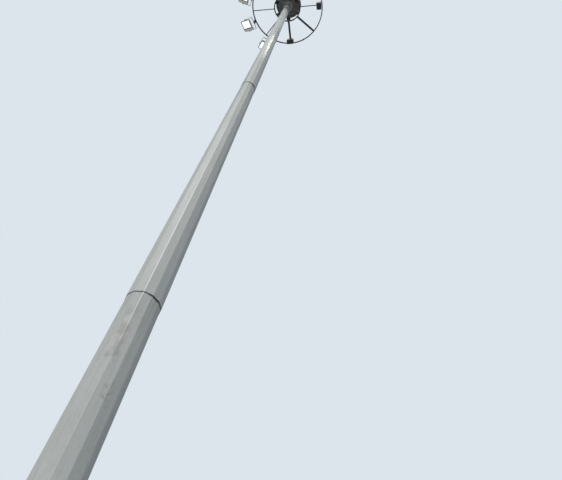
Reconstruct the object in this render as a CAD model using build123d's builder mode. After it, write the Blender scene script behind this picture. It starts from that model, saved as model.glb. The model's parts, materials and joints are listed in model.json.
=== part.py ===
"""High mast floodlight tower with a lowering lantern carriage.

A twelve-sided tapered steel mast stands on a bolted base flange. It is made of three
sections that slip over each other. At its head three arms carry rope pulleys under a
round canopy. A ring-shaped lantern carriage with eight spokes hangs on three ropes below
the canopy, and runs down round the mast when the winch lets it down.

Units are millimetres. +Z is up, and the origin is the centre of the base flange's
underside. Azimuths are in degrees from +X towards +Y. The door faces -Y.
"""

from build123d import *
import os
from math import atan, cos, degrees, radians, sin, sqrt

os.makedirs("parts", exist_ok=True)

# Mast
sides = 12
base_corner_radius = 274
taper = 0.0101
joint_1_height = 6100
joint_2_height = 12740
mast_top = 19450
lower_wall = 6
middle_wall = 6
upper_wall = 6
mast_bend_radius = 24
lap_1 = 650
lap_2 = 450
lap_clearance = 0.6
seat_gap = 0.3

# Base flange and its stiffeners
flange_radius = 400
flange_thickness = 30
flange_bore_radius = 190
anchor_circle_radius = 350
anchor_count = 12
anchor_hole_radius = 18
gusset_height = 180
gusset_thickness = 12
gusset_foot_height = 22
gusset_top_width = 14
gusset_edge_margin = 14

# Door
door_opening_width = 230
door_opening_height = 1000
door_corner_radius = 60
door_sill_height = 560
door_frame_width = 16
door_frame_proud = 10
door_frame_depth = 14
door_leaf_thickness = 4
door_leaf_lap = 11
door_blank_margin = 50

# Head flange, arms and pulleys
head_flange_radius = 140
head_flange_thickness = 16
head_flange_bore = 62
arm_count = 3
arm_azimuth = 56.8
cheek_thickness = 8
cheek_gap = 28
cheek_foot_start = 30
cheek_height = 170
cheek_nose_height = 95
cheek_nose_drop = 60
end_block_length = 22
pulley_radius = 65
pulley_floor_radius = 55
pulley_width = 24
pulley_inner_place = 100
pulley_outer_place = 245
pulley_axis_height = 134
pin_radius = 10
pin_clearance = 0.05
pin_end = 6

# Hoist ropes
rope_radius = 4
rope_facets = 6
rope_tail_length = 350
rope_lead = 20

# Canopy and lightning rod
canopy_radius = 375
canopy_wall = 4
canopy_rim_rise = 150
canopy_skirt = 110
canopy_rise = 170
canopy_cap_radius = 60
rod_boss_radius = 35
rod_boss_height = 30
rod_radius = 10
rod_length = 900
rod_point_length = 60

# Lantern carriage
carriage_drop = 150
outer_ring_radius = 1053
inner_ring_radius = 388
ring_width = 28
ring_height = 40
ring_split_azimuth = 34.3
joint_plate_width = 34
joint_plate_height = 96
joint_plate_thickness = 8
spoke_count = 8
spoke_azimuth = 11.8
spoke_radius = 13
heavy_spoke_radius = 30
heavy_spokes = (0, 1, 4, 5)
spoke_wall = 3.2

# Rope lugs and docking pads
lug_thickness = 12
lug_height = 56
lug_reach = 16
socket_radius = 9
socket_length = 60
dock_post_radius = 14
dock_post_place = 342
dock_pad_radius = 19
dock_pad_thickness = 20
dock_plate_thickness = 6
landing_thickness = 6
landing_width = 120

# Guide rollers
roller_count = 3
roller_azimuth = 116.8
roller_radius = 30
roller_length = 62
roller_place = 318
roller_pin_radius = 8
roller_side_gap = 2
fork_thickness = 6
fork_height = 50
fork_nose_radius = 24

# Floodlights
lamp_count = 5
lamp_first_azimuth = 94.6
lamp_pitch = 36
lamp_reach = 238
lamp_drop = 200
lamp_tilt = 22
lamp_frame = 18
lamp_rim_depth = 46
lamp_rim_corner = 24
lamp_shoulder = 8
lamp_back_height = 62
lamp_back_inset = 47
lamp_back_corner = 16
lamp_wall = 5
lamp_ledge = 10
lamp_pivot_depth = 30
glass_length = 284
glass_width = 220
glass_thickness = 6
glass_recess = 10
glass_corner = 14
fin_count = 6
fin_height = 16
fin_thickness = 5
compartment_width = 75
compartment_rise = 24
compartment_lid_proud = 3
pivot_radius = 9
yoke_bar_width = 40
yoke_bar_thickness = 6
yoke_gap = 8
yoke_tip = 22
saddle_width = 90
saddle_thickness = 10
saddle_rise = 44

# Control gear boxes
gear_box_length = 130
gear_box_width = 196
gear_box_height = 120
gear_box_corner = 14
gear_box_wall = 4
gear_box_ring_gap = 4
gear_lid_thickness = 18
gear_lid_lip = 5
gear_lid_draft = 12
gear_ear_thickness = 6
gear_ear_width = 60
gear_ear_rise = 12
gear_box_spokes = (1, 7)

# Values that follow from the sizes above
half_side_angle = 180 / sides
side_share = cos(radians(half_side_angle))
side_lean = degrees(atan(taper * side_share))
lower_top = joint_1_height + lap_1
middle_top = joint_2_height + lap_2
middle_base_radius = (
    base_corner_radius + (middle_wall + lap_clearance) / side_share
)
upper_base_radius = middle_base_radius + (upper_wall + lap_clearance) / side_share
arms_foot = mast_top + head_flange_thickness
pulley_height = mast_top + pulley_axis_height
rope_bend_radius = pulley_floor_radius + rope_radius + seat_gap
fall_place = pulley_outer_place + rope_bend_radius
canopy_inner_radius = canopy_radius - canopy_wall
canopy_rim_height = mast_top + canopy_rim_rise
carriage_height = mast_top - carriage_drop
lug_top = carriage_height + lug_height / 2 + landing_thickness
socket_top = lug_top + socket_length
lamp_height = carriage_height - lamp_drop
lamp_place = outer_ring_radius + ring_width / 2 + lamp_reach
lamp_length = glass_length + 2 * lamp_frame
lamp_width = glass_width + 2 * lamp_frame + compartment_width


def lower_radius(height):
    """Corner radius of the lower section's outside."""
    return base_corner_radius - taper * height


def middle_radius(height):
    """Corner radius of the middle section's outside."""
    return middle_base_radius - taper * height


def upper_radius(height):
    """Corner radius of the upper section's outside."""
    return upper_base_radius - taper * height


def level_plane(azimuth, place, height):
    """Level plane at a distance from the axis: x runs outwards and z runs up."""
    angle = radians(azimuth)
    return Plane(
        origin=(place * cos(angle), place * sin(angle), height),
        x_dir=(cos(angle), sin(angle), 0),
        z_dir=(0, 0, 1),
    )


def keep(piece, node):
    """Name a finished piece and write it to its own file."""
    piece.part.label = node
    export_step(piece.part, f"parts/{node}.step")


def placed(piece, plane):
    """A copy of a piece built at the origin, moved to a plane."""
    with BuildPart(plane) as copy:
        add(piece)
    return copy


def around(piece, count, first_azimuth):
    """Copies of a piece built at azimuth 0, evenly spaced round the mast's axis."""
    with BuildPart() as copies:
        with PolarLocations(0, count, first_azimuth):
            add(piece)
    return copies


def mast_block(low, high, corner_radius, bend_radius):
    """Solid twelve-sided taper, its long edges rounded as a press bends them."""
    with BuildPart() as block:
        with BuildSketch(Plane.XY.offset(low)):
            RegularPolygon(corner_radius, sides, rotation=half_side_angle)
        extrude(amount=high - low, taper=side_lean)
        fillet(block.edges().filter_by(Plane.XY, reverse=True), bend_radius)
    return block


def mast_shell(low, high, radius_at, outer_offset, inner_offset):
    """Tapered shell between two offsets from a section's outside."""
    with BuildPart() as shell:
        for offset, mode in ((outer_offset, Mode.ADD), (inner_offset, Mode.SUBTRACT)):
            corner_radius = radius_at(low) + offset / side_share
            add(
                mast_block(low, high, corner_radius, mast_bend_radius + offset),
                mode=mode,
            )
    return shell


def door_prism(inset):
    """Door opening's shape, smaller by an inset, from the axis out through -Y."""
    with BuildPart() as prism:
        with BuildSketch(Plane.XZ):
            with Locations((0, door_sill_height + door_opening_height / 2)):
                RectangleRounded(
                    door_opening_width - 2 * inset,
                    door_opening_height - 2 * inset,
                    door_corner_radius - inset,
                )
        extrude(amount=base_corner_radius + 2 * door_frame_proud)
    return prism


# Base flange: a round plate with a cable opening and a circle of anchor holes
with BuildPart() as base_flange:
    with BuildSketch():
        Circle(flange_radius)
        Circle(flange_bore_radius, mode=Mode.SUBTRACT)
        with PolarLocations(anchor_circle_radius, anchor_count, half_side_angle):
            Circle(anchor_hole_radius, mode=Mode.SUBTRACT)
    extrude(amount=flange_thickness)
keep(base_flange, "base_flange")

# Stiffeners: one upright plate on the middle of each side of the mast
gusset_foot = flange_thickness + seat_gap
gusset_top = gusset_foot + gusset_height
gusset_end = flange_radius - gusset_edge_margin
foot_start = lower_radius(gusset_foot) * side_share + seat_gap
top_start = lower_radius(gusset_top) * side_share + seat_gap
with BuildPart() as gusset:
    with BuildSketch(Plane.XZ):
        with BuildLine():
            Polyline(
                (foot_start, gusset_foot),
                (gusset_end, gusset_foot),
                (gusset_end, gusset_foot + gusset_foot_height),
                (top_start + gusset_top_width, gusset_top),
                (top_start, gusset_top),
                close=True,
            )
        make_face()
    extrude(amount=gusset_thickness / 2, both=True)
keep(around(gusset, sides, 0), "base_gussets")

# Lower section, with the door opening cut through its -Y side
with BuildPart() as lower_section:
    add(mast_shell(flange_thickness, lower_top, lower_radius, 0, -lower_wall))
    add(door_prism(0), mode=Mode.SUBTRACT)
keep(lower_section, "lower_section")

# Door frame: a rim through the wall, round the opening
frame_low = door_sill_height - door_blank_margin
frame_high = door_sill_height + door_opening_height + door_blank_margin
with BuildPart() as door_frame:
    add(
        mast_shell(
            frame_low, frame_high, lower_radius, door_frame_proud, -door_frame_depth
        )
    )
    add(door_prism(seat_gap), mode=Mode.INTERSECT)
    add(door_prism(door_frame_width), mode=Mode.SUBTRACT)
keep(door_frame, "door_frame")

# Door: a cover bent to the mast's sides, closed over the frame
door_inside = door_frame_proud + seat_gap
with BuildPart() as door:
    add(
        mast_shell(
            frame_low,
            frame_high,
            lower_radius,
            door_inside + door_leaf_thickness,
            door_inside,
        )
    )
    add(door_prism(door_frame_width - door_leaf_lap), mode=Mode.INTERSECT)
keep(door, "door")

# Middle section, slipped over the lower one
with BuildPart() as middle_section:
    add(mast_shell(joint_1_height, middle_top, middle_radius, 0, -middle_wall))
keep(middle_section, "middle_section")

# Upper section, slipped over the middle one
with BuildPart() as upper_section:
    add(mast_shell(joint_2_height, mast_top, upper_radius, 0, -upper_wall))
keep(upper_section, "upper_section")

# Head flange: the plate that closes the mast, open in the middle for the ropes
with BuildPart() as head_flange:
    with BuildSketch(Plane.XY.offset(mast_top)):
        Circle(head_flange_radius)
        Circle(head_flange_bore, mode=Mode.SUBTRACT)
    extrude(amount=head_flange_thickness)
keep(head_flange, "head_flange")

# Head arms: each is a pair of cheek plates joined by a block at the canopy, with the
# pins that carry its two pulleys
arm_top = arms_foot + cheek_height
arm_end = canopy_inner_radius - seat_gap
nose_foot = pulley_height - cheek_nose_drop
pulley_centres = [(pulley_inner_place, pulley_height), (pulley_outer_place, pulley_height)]
with BuildPart() as head_arm:
    with BuildSketch(Plane.XZ):
        with BuildLine():
            Polyline(
                (cheek_foot_start, arms_foot),
                (head_flange_radius, arms_foot),
                (pulley_outer_place, nose_foot),
                (canopy_radius, nose_foot),
                (canopy_radius, nose_foot + cheek_nose_height),
                (pulley_outer_place, arm_top),
                (cheek_foot_start, arm_top),
                close=True,
            )
        make_face()
    extrude(amount=cheek_gap / 2 + cheek_thickness, both=True)
    with BuildSketch(Plane.XZ):
        with Locations((0, arms_foot)):
            Rectangle(
                arm_end - end_block_length,
                2 * cheek_height,
                align=(Align.MIN, Align.CENTER),
            )
    extrude(amount=cheek_gap / 2, both=True, mode=Mode.SUBTRACT)
    with BuildSketch(Plane.XY.offset(mast_top)):
        Circle(arm_end)
    extrude(amount=2 * cheek_height, mode=Mode.INTERSECT)
    with BuildSketch(Plane.XZ):
        with Locations(*pulley_centres):
            Circle(pin_radius)
    extrude(amount=cheek_gap / 2 + cheek_thickness + pin_end, both=True)
keep(around(head_arm, arm_count, arm_azimuth), "head_arms")

# Pulleys: a V groove and a bore, two for each rope, on the arms' pins
pulley_rim = pulley_width / 2
pulley_bore = pin_radius + pin_clearance
with BuildPart() as pulley:
    with BuildSketch(Plane.XZ):
        with BuildLine():
            Polyline(
                (pulley_bore, -pulley_rim),
                (pulley_radius, -pulley_rim),
                (pulley_floor_radius, -rope_radius),
                (pulley_floor_radius, rope_radius),
                (pulley_radius, pulley_rim),
                (pulley_bore, pulley_rim),
                close=True,
            )
        make_face()
    revolve(axis=Axis.Z)
with BuildPart() as pulley_pair:
    for place, height in pulley_centres:
        with Locations(Location((place, 0, height), (90, 0, 0))):
            add(pulley)
keep(around(pulley_pair, arm_count, arm_azimuth), "head_pulleys")

# Hoist ropes: over the two pulleys of an arm and down inside the mast
inner_fall = pulley_inner_place - rope_bend_radius
rope_top = pulley_height + rope_bend_radius
fall_top = pulley_height - rope_lead
with BuildPart() as hoist_rope:
    with BuildLine(Plane.XZ) as rope_path:
        FilletPolyline(
            (fall_place, fall_top),
            (fall_place, rope_top),
            (inner_fall, rope_top),
            (inner_fall, pulley_height - rope_tail_length),
            radius=rope_bend_radius,
        )
    with BuildSketch(level_plane(0, fall_place, fall_top)):
        RegularPolygon(rope_radius, rope_facets)
    sweep(path=rope_path.line)
keep(around(hoist_rope, arm_count, arm_azimuth), "hoist_ropes")

# Rope falls: the straight stretches from the pulleys down to the carriage
with BuildPart() as rope_fall:
    with BuildSketch(level_plane(0, fall_place, socket_top)):
        RegularPolygon(rope_radius, rope_facets)
    extrude(amount=fall_top - socket_top)
keep(around(rope_fall, arm_count, arm_azimuth), "rope_falls")

# Docking posts: they hang from the arms, and their pads stop the carriage at the head
post_top = nose_foot - seat_gap
post_foot = lug_top + seat_gap + dock_pad_thickness
with BuildPart() as dock_post:
    with BuildSketch(level_plane(0, dock_post_place, post_foot)):
        Circle(dock_post_radius)
    extrude(amount=post_top - post_foot)
    with BuildSketch(level_plane(0, dock_post_place, post_top)):
        Rectangle(2 * dock_pad_radius, cheek_gap + 2 * cheek_thickness)
    extrude(amount=-dock_plate_thickness)
    with BuildSketch(level_plane(0, dock_post_place, lug_top + seat_gap)):
        Circle(dock_pad_radius)
    extrude(amount=dock_pad_thickness)
keep(around(dock_post, arm_count, arm_azimuth), "dock_posts")

# Canopy: a conical cover with a straight skirt and a flat cap, open underneath
skirt_top = canopy_rim_height + canopy_skirt
canopy_top = skirt_top + canopy_rise
with BuildPart() as canopy:
    with BuildSketch(Plane.XZ):
        with BuildLine():
            Polyline(
                (canopy_radius, canopy_rim_height),
                (canopy_radius, skirt_top),
                (canopy_cap_radius, canopy_top),
                (0, canopy_top),
                (0, canopy_top - canopy_wall),
                (canopy_cap_radius - canopy_wall / 2, canopy_top - canopy_wall),
                (canopy_inner_radius, skirt_top - canopy_wall / 2),
                (canopy_inner_radius, canopy_rim_height),
                close=True,
            )
        make_face()
    revolve(axis=Axis.Z)
keep(canopy, "canopy")

# Lightning rod: a boss on the canopy and a pointed rod
rod_foot = canopy_top + seat_gap
with BuildPart() as lightning_rod:
    with BuildSketch(Plane.XZ):
        with BuildLine():
            Polyline(
                (0, rod_foot),
                (rod_boss_radius, rod_foot),
                (rod_boss_radius, canopy_top + rod_boss_height / 2),
                (rod_radius, canopy_top + rod_boss_height),
                (rod_radius, canopy_top + rod_length - rod_point_length),
                (0, canopy_top + rod_length),
                close=True,
            )
        make_face()
    revolve(axis=Axis.Z)
keep(lightning_rod, "lightning_rod")


def ring_halves(ring_radius):
    """Ring in two halves that meet at bolted joint plates."""
    split = level_plane(ring_split_azimuth, 0, carriage_height)
    split_face = Plane(split.origin, x_dir=split.x_dir, z_dir=split.y_dir)
    with BuildPart() as halves:
        with BuildSketch(Plane.XZ):
            with Locations((ring_radius, carriage_height)):
                Rectangle(ring_width, ring_height)
        revolve(axis=Axis.Z)
        with BuildSketch(split_face):
            with Locations((ring_radius, 0), (-ring_radius, 0)):
                Rectangle(joint_plate_width, joint_plate_height)
        extrude(amount=joint_plate_thickness + seat_gap / 2, both=True)
        with BuildSketch(split_face):
            Rectangle(2 * ring_radius + 2 * joint_plate_width, 2 * joint_plate_height)
        extrude(amount=seat_gap / 2, both=True, mode=Mode.SUBTRACT)
    return halves


# Carriage rings
keep(ring_halves(outer_ring_radius), "outer_ring")
keep(ring_halves(inner_ring_radius), "inner_ring")

# Spokes: tubes with their ends shaped to the faces of the rings
spoke_start = inner_ring_radius + ring_width / 2 + seat_gap
spoke_end = outer_ring_radius - ring_width / 2 - seat_gap
for index in range(spoke_count):
    azimuth = spoke_azimuth + index * 360 / spoke_count
    tube_radius = heavy_spoke_radius if index in heavy_spokes else spoke_radius
    across = level_plane(azimuth, inner_ring_radius, carriage_height)
    with BuildPart() as spoke:
        with BuildSketch(Plane(across.origin, x_dir=across.y_dir, z_dir=across.x_dir)):
            Circle(tube_radius)
            Circle(tube_radius - spoke_wall, mode=Mode.SUBTRACT)
        extrude(amount=outer_ring_radius - inner_ring_radius)
        with BuildSketch(Plane.XY.offset(carriage_height)):
            Circle(spoke_end)
            Circle(spoke_start, mode=Mode.SUBTRACT)
        extrude(amount=2 * tube_radius, both=True, mode=Mode.INTERSECT)
    keep(spoke, f"spoke_{index + 1}")

# Rope lugs: brackets inside the inner ring, each a wide landing plate on a lug plate,
# with the rope's socket
lug_inner = fall_place - lug_reach
lug_outer = inner_ring_radius - ring_width / 2 - seat_gap
with BuildPart() as rope_lug:
    with BuildSketch(Plane.XZ):
        with Locations((lug_inner, carriage_height)):
            Rectangle(
                inner_ring_radius - lug_inner,
                lug_height,
                align=(Align.MIN, Align.CENTER),
            )
    extrude(amount=lug_thickness / 2, both=True)
    with BuildSketch(level_plane(0, lug_inner, lug_top)):
        Rectangle(
            inner_ring_radius - lug_inner,
            landing_width,
            align=(Align.MIN, Align.CENTER),
        )
    extrude(amount=-landing_thickness)
    with BuildSketch(level_plane(0, fall_place, carriage_height)):
        Circle(socket_radius)
    extrude(amount=socket_top - carriage_height)
    with BuildSketch(Plane.XY.offset(carriage_height)):
        Circle(lug_outer)
    extrude(amount=socket_top - carriage_height, both=True, mode=Mode.INTERSECT)
keep(around(rope_lug, arm_count, arm_azimuth), "rope_lugs")

# Roller forks: brackets inside the inner ring, with the rollers' pins
fork_inside = roller_length / 2 + roller_side_gap
fork_back = roller_place + roller_radius + roller_side_gap
with BuildPart() as roller_fork:
    with BuildSketch(Plane.XZ):
        with Locations((roller_place, carriage_height)):
            SlotCenterPoint((0, 0), (fork_back - roller_place, 0), fork_nose_radius)
        with Locations((fork_back, carriage_height)):
            Rectangle(
                inner_ring_radius - fork_back,
                fork_height,
                align=(Align.MIN, Align.CENTER),
            )
    extrude(amount=fork_inside + fork_thickness, both=True)
    with BuildSketch(Plane.XZ):
        with Locations((0, carriage_height)):
            Rectangle(fork_back, 2 * fork_height, align=(Align.MIN, Align.CENTER))
    extrude(amount=fork_inside, both=True, mode=Mode.SUBTRACT)
    with BuildSketch(Plane.XZ):
        with Locations((roller_place, carriage_height)):
            Circle(roller_pin_radius)
    extrude(amount=fork_inside, both=True)
    with BuildSketch(Plane.XY.offset(carriage_height)):
        Circle(lug_outer)
    extrude(amount=fork_height, both=True, mode=Mode.INTERSECT)
keep(around(roller_fork, roller_count, roller_azimuth), "roller_forks")

# Guide rollers: they keep the carriage off the mast as it runs
with BuildPart() as guide_roller:
    with BuildSketch(Plane.XZ):
        with Locations((roller_place, carriage_height)):
            Circle(roller_radius)
            Circle(roller_pin_radius + seat_gap, mode=Mode.SUBTRACT)
    extrude(amount=roller_length / 2, both=True)
keep(around(guide_roller, roller_count, roller_azimuth), "guide_rollers")

# Floodlight housing, built round its pivot: a rim that holds the glass and runs on under
# a terminal compartment beside it, a tapered back with cooling fins over the glass, and a
# pivot boss on each side
rim_top = lamp_rim_depth - lamp_pivot_depth
back_top = rim_top + lamp_back_height
glass_seat = glass_recess - lamp_pivot_depth
glass_middle = compartment_width / 2
compartment_middle = (compartment_width - lamp_width) / 2
yoke_inside = lamp_width / 2 + yoke_gap
back_lean = degrees(atan(lamp_back_inset / lamp_back_height))
back_length = lamp_length - 2 * lamp_shoulder
back_width = lamp_width - compartment_width - 2 * lamp_shoulder
compartment_inside = compartment_width - 2 * lamp_shoulder
fin_length = back_length - 2 * lamp_back_inset
fin_spread = (back_width - 2 * lamp_back_inset) / fin_count
cavity_height = back_top - lamp_wall - glass_seat
cavity_lean = degrees(atan(lamp_back_inset / cavity_height))
with BuildPart() as lamp_housing:
    with BuildSketch(Plane((0, glass_middle, rim_top))):
        Rectangle(back_length, back_width)
    extrude(amount=lamp_back_height, taper=back_lean)
    fillet(lamp_housing.edges().filter_by(Plane.XY, reverse=True), lamp_back_corner)
    with BuildSketch(Plane.XY.offset(-lamp_pivot_depth)):
        RectangleRounded(lamp_length, lamp_width, lamp_rim_corner)
    extrude(amount=lamp_rim_depth)
    with BuildSketch(Plane((0, compartment_middle, -lamp_pivot_depth - compartment_lid_proud))):
        Rectangle(back_length, compartment_inside)
    extrude(amount=compartment_lid_proud + lamp_rim_depth + compartment_rise)
    with BuildSketch(Plane((0, glass_middle, back_top))):
        with GridLocations(0, fin_spread, 1, fin_count):
            Rectangle(fin_length, fin_thickness)
    extrude(amount=fin_height)
    with BuildSketch(Plane.XZ):
        Circle(pivot_radius)
    extrude(amount=yoke_inside - seat_gap, both=True)
    with BuildSketch(Plane((0, glass_middle, -lamp_pivot_depth))):
        RectangleRounded(
            glass_length + 2 * seat_gap, glass_width + 2 * seat_gap, glass_corner
        )
    extrude(amount=glass_recess, mode=Mode.SUBTRACT)
    with BuildSketch(Plane((0, glass_middle, glass_seat))):
        Rectangle(glass_length - 2 * lamp_ledge, glass_width - 2 * lamp_ledge)
    extrude(amount=cavity_height, taper=cavity_lean, mode=Mode.SUBTRACT)

# Floodlight glass: a flat pane in the rim's recess
with BuildPart() as lamp_glass:
    with BuildSketch(Plane((0, glass_middle, glass_seat - seat_gap))):
        RectangleRounded(glass_length, glass_width, glass_corner)
    extrude(amount=-glass_thickness)

# Floodlight yoke: a bent bar round the housing and an upright plate on the outer ring
yoke_back = seat_gap + saddle_thickness - lamp_reach
with BuildPart() as lamp_yoke:
    with BuildSketch(Plane.XY.offset(-yoke_bar_width / 2)):
        with Locations((yoke_back, 0)):
            Rectangle(
                yoke_tip - yoke_back,
                2 * (yoke_inside + yoke_bar_thickness),
                align=(Align.MIN, Align.CENTER),
            )
        with Locations((yoke_back + yoke_bar_thickness, 0)):
            Rectangle(
                yoke_tip - yoke_back,
                2 * yoke_inside,
                align=(Align.MIN, Align.CENTER),
                mode=Mode.SUBTRACT,
            )
    extrude(amount=yoke_bar_width)
    with BuildSketch(Plane.XY.offset(-yoke_bar_width / 2)):
        with Locations((yoke_back, 0)):
            Rectangle(saddle_thickness, saddle_width, align=(Align.MAX, Align.CENTER))
    extrude(amount=yoke_bar_width / 2 + lamp_drop + saddle_rise)

# Floodlights in their places round the outer ring
for index in range(lamp_count):
    azimuth = lamp_first_azimuth + index * lamp_pitch
    pivot = level_plane(azimuth, lamp_place, lamp_height)
    tilted = pivot.moved(Rotation(0, -lamp_tilt, 0))
    keep(placed(lamp_housing, tilted), f"lamp_{index + 1}_housing")
    keep(placed(lamp_glass, tilted), f"lamp_{index + 1}_glass")
    keep(placed(lamp_yoke, pivot), f"lamp_{index + 1}_yoke")

# Control gear boxes: each hangs under a spoke, close to the outer ring
gear_reach = outer_ring_radius - ring_width / 2 - gear_box_ring_gap
gear_place = sqrt(gear_reach**2 - (gear_box_width / 2) ** 2) - gear_box_length / 2
for number, index in enumerate(gear_box_spokes):
    azimuth = spoke_azimuth + index * 360 / spoke_count
    tube_radius = heavy_spoke_radius if index in heavy_spokes else spoke_radius
    box_top = level_plane(azimuth, gear_place, carriage_height - tube_radius - seat_gap)
    box_foot = box_top.offset(-gear_box_height)
    ear_place = tube_radius + seat_gap + gear_ear_thickness / 2
    with BuildPart() as gear_box:
        with BuildSketch(box_top):
            RectangleRounded(gear_box_length, gear_box_width, gear_box_corner)
        extrude(amount=-gear_box_height)
        with BuildSketch(box_foot):
            RectangleRounded(
                gear_box_length - 2 * gear_box_wall,
                gear_box_width - 2 * gear_box_wall,
                gear_box_corner - gear_box_wall,
            )
        extrude(amount=gear_box_height - gear_box_wall, mode=Mode.SUBTRACT)
        with BuildSketch(box_top):
            with Locations((0, ear_place), (0, -ear_place)):
                Rectangle(gear_ear_width, gear_ear_thickness)
        extrude(amount=2 * tube_radius + gear_ear_rise)
        with BuildSketch(box_foot.offset(-seat_gap)):
            RectangleRounded(
                gear_box_length + 2 * gear_lid_lip,
                gear_box_width + 2 * gear_lid_lip,
                gear_box_corner + gear_lid_lip,
            )
        extrude(amount=-gear_lid_thickness, taper=gear_lid_draft)
    keep(gear_box, f"gear_box_{number + 1}")
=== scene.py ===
# %% [markdown]
# # A high mast floodlight tower
#
# The real tower is a light grey, twelve-sided steel mast with a dark lantern carriage at its
# head. The construction comes as a fixed frame of named parts. This lesson gives those parts
# their finish and adds what is too small for the construction model: nuts, weld beads,
# U-bolts, wire ropes, screws and cable glands. All lengths are in metres, in the frame of
# the parts: +Z is up, the mast's axis is the Z axis and the door faces -Y.

# %% Load the frame
import json
import math
import random

import bmesh
import bpy
from mathutils import Matrix, Vector


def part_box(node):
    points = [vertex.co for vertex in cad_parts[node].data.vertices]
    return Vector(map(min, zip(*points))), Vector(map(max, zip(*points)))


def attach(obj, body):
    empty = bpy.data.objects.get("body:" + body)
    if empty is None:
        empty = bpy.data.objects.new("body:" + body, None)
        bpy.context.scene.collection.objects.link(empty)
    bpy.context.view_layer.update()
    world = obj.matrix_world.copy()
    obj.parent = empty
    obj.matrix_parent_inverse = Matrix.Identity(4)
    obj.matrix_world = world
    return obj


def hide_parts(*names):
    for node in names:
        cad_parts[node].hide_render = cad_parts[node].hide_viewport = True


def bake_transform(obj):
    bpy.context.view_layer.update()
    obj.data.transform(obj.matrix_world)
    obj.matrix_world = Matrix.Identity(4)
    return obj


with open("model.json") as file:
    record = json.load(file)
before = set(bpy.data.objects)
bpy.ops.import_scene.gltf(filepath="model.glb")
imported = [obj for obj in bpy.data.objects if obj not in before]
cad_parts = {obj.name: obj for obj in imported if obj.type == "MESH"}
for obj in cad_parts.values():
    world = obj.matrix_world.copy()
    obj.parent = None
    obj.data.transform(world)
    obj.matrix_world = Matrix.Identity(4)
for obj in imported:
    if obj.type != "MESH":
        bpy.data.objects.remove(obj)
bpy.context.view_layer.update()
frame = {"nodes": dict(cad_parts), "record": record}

# %% [markdown]
# ## Where things are
#
# Heights and radii are read from the parts, so that every added piece follows the
# construction. A few numbers are written down instead, because no part's box shows them: the
# taper that all sections share, the step out at each slip joint, and half the width and
# height of the rings' tube.

# %% Heights and radii of the tower
SIDES = 12
HALF_SIDE = math.pi / SIDES
SIDE_SHARE = math.cos(HALF_SIDE)
SIDE_DEGREES = 360 / SIDES
RING_HALF_WIDTH = 0.014
RING_HALF_HEIGHT = 0.020


def low(node):
    """Lowest corner of a part's box."""
    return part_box(node)[0]


def high(node):
    """Highest corner of a part's box."""
    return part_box(node)[1]


flange_top = high("base_flange").z
joint_1 = low("middle_section").z
joint_2 = low("upper_section").z
mast_top = high("upper_section").z
canopy_low = low("canopy").z
canopy_radius = high("canopy").x
carriage_height = (low("spoke_1").z + high("spoke_1").z) / 2
outer_radius = high("outer_ring").x - RING_HALF_WIDTH
inner_radius = high("inner_ring").x - RING_HALF_WIDTH
print("joints at", round(joint_1, 3), round(joint_2, 3), "top", round(mast_top, 3))

# %% The mast's flats
TAPER = 0.0101 * SIDE_SHARE
JOINT_STEP = 0.0066
foot_flat = high("lower_section").x


def flat_distance(height):
    """Distance from the axis to the mast's outside, square to one of its flats."""
    steps = (height >= joint_1) + (height >= joint_2)
    return foot_flat - TAPER * (height - flange_top) + steps * JOINT_STEP


print("flat at the foot", round(flat_distance(flange_top), 4))

# %% [markdown]
# ## Camera
#
# The photograph was taken from the ground, close to the mast and looking steeply up. Its
# camera was worked out from the slip joints and the ring: almost five metres from the axis,
# at eye height, pitched up by 53 degrees and rolled by 13. The focal length is given in
# pixels of the photograph's 562 pixel width, which Blender's lens value turns into
# millimetres on a 36 mm sensor.

# %% Camera
PHOTO_WIDTH = 562
FOCAL_PIXELS = 563
SENSOR_WIDTH = 36.0
CAMERA_PLACE = Vector((0.0, -4.9225, 1.604))
CAMERA_PITCH = math.radians(53.016)
CAMERA_HEADING = math.radians(16.197)
CAMERA_ROLL = math.radians(12.846)

camera = bpy.data.objects.new("photo_camera", bpy.data.cameras.new("photo_camera"))
bpy.context.scene.collection.objects.link(camera)
camera.data.sensor_width = SENSOR_WIDTH
camera.data.lens = FOCAL_PIXELS * SENSOR_WIDTH / PHOTO_WIDTH
camera.data.clip_end = 500.0
camera.location = CAMERA_PLACE
camera.rotation_euler = (
    Matrix.Rotation(-CAMERA_HEADING, 3, "Z")
    @ Matrix.Rotation(math.pi / 2 + CAMERA_PITCH, 3, "X")
    @ Matrix.Rotation(CAMERA_ROLL, 3, "Z")
).to_euler()
bpy.context.scene.camera = camera
print("lens", round(camera.data.lens, 3), "mm")

# %% [markdown]
# ## Materials: small tools
#
# A material here is a Principled BSDF fed by procedural nodes. What several finishes share,
# such as zinc crystals or rain streaks, is a node group with named sockets. These helpers
# keep each group and material to a few readable lines.


# %% Socket helpers
def feed(tree, source, socket):
    """Gives a socket its value, which is a number or another socket."""
    if isinstance(source, (int, float)):
        socket.default_value = source
    else:
        tree.links.new(source, socket)


def fill(sockets, values):
    """Sets sockets from {name: value}, where _ stands for a space in the name."""
    for label, value in values.items():
        sockets[label.replace("_", " ")].default_value = value


# %% Node helpers
def math_node(tree, operation, first, second=None, clamp=False):
    """Math node; an operand is a socket or a number. Returns its output."""
    made = tree.nodes.new("ShaderNodeMath")
    made.operation = operation
    made.use_clamp = clamp
    feed(tree, first, made.inputs[0])
    if second is not None:
        feed(tree, second, made.inputs[1])
    return made.outputs[0]


def remap(tree, value, start, end, new_start=0.0, new_end=1.0):
    """Smooth Map Range from start..end to new_start..new_end."""
    made = tree.nodes.new("ShaderNodeMapRange")
    made.interpolation_type = "SMOOTHSTEP"
    fill(made.inputs, {"From_Min": start, "From_Max": end, "To_Min": new_start, "To_Max": new_end})
    tree.links.new(value, made.inputs["Value"])
    return made.outputs["Result"]


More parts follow.
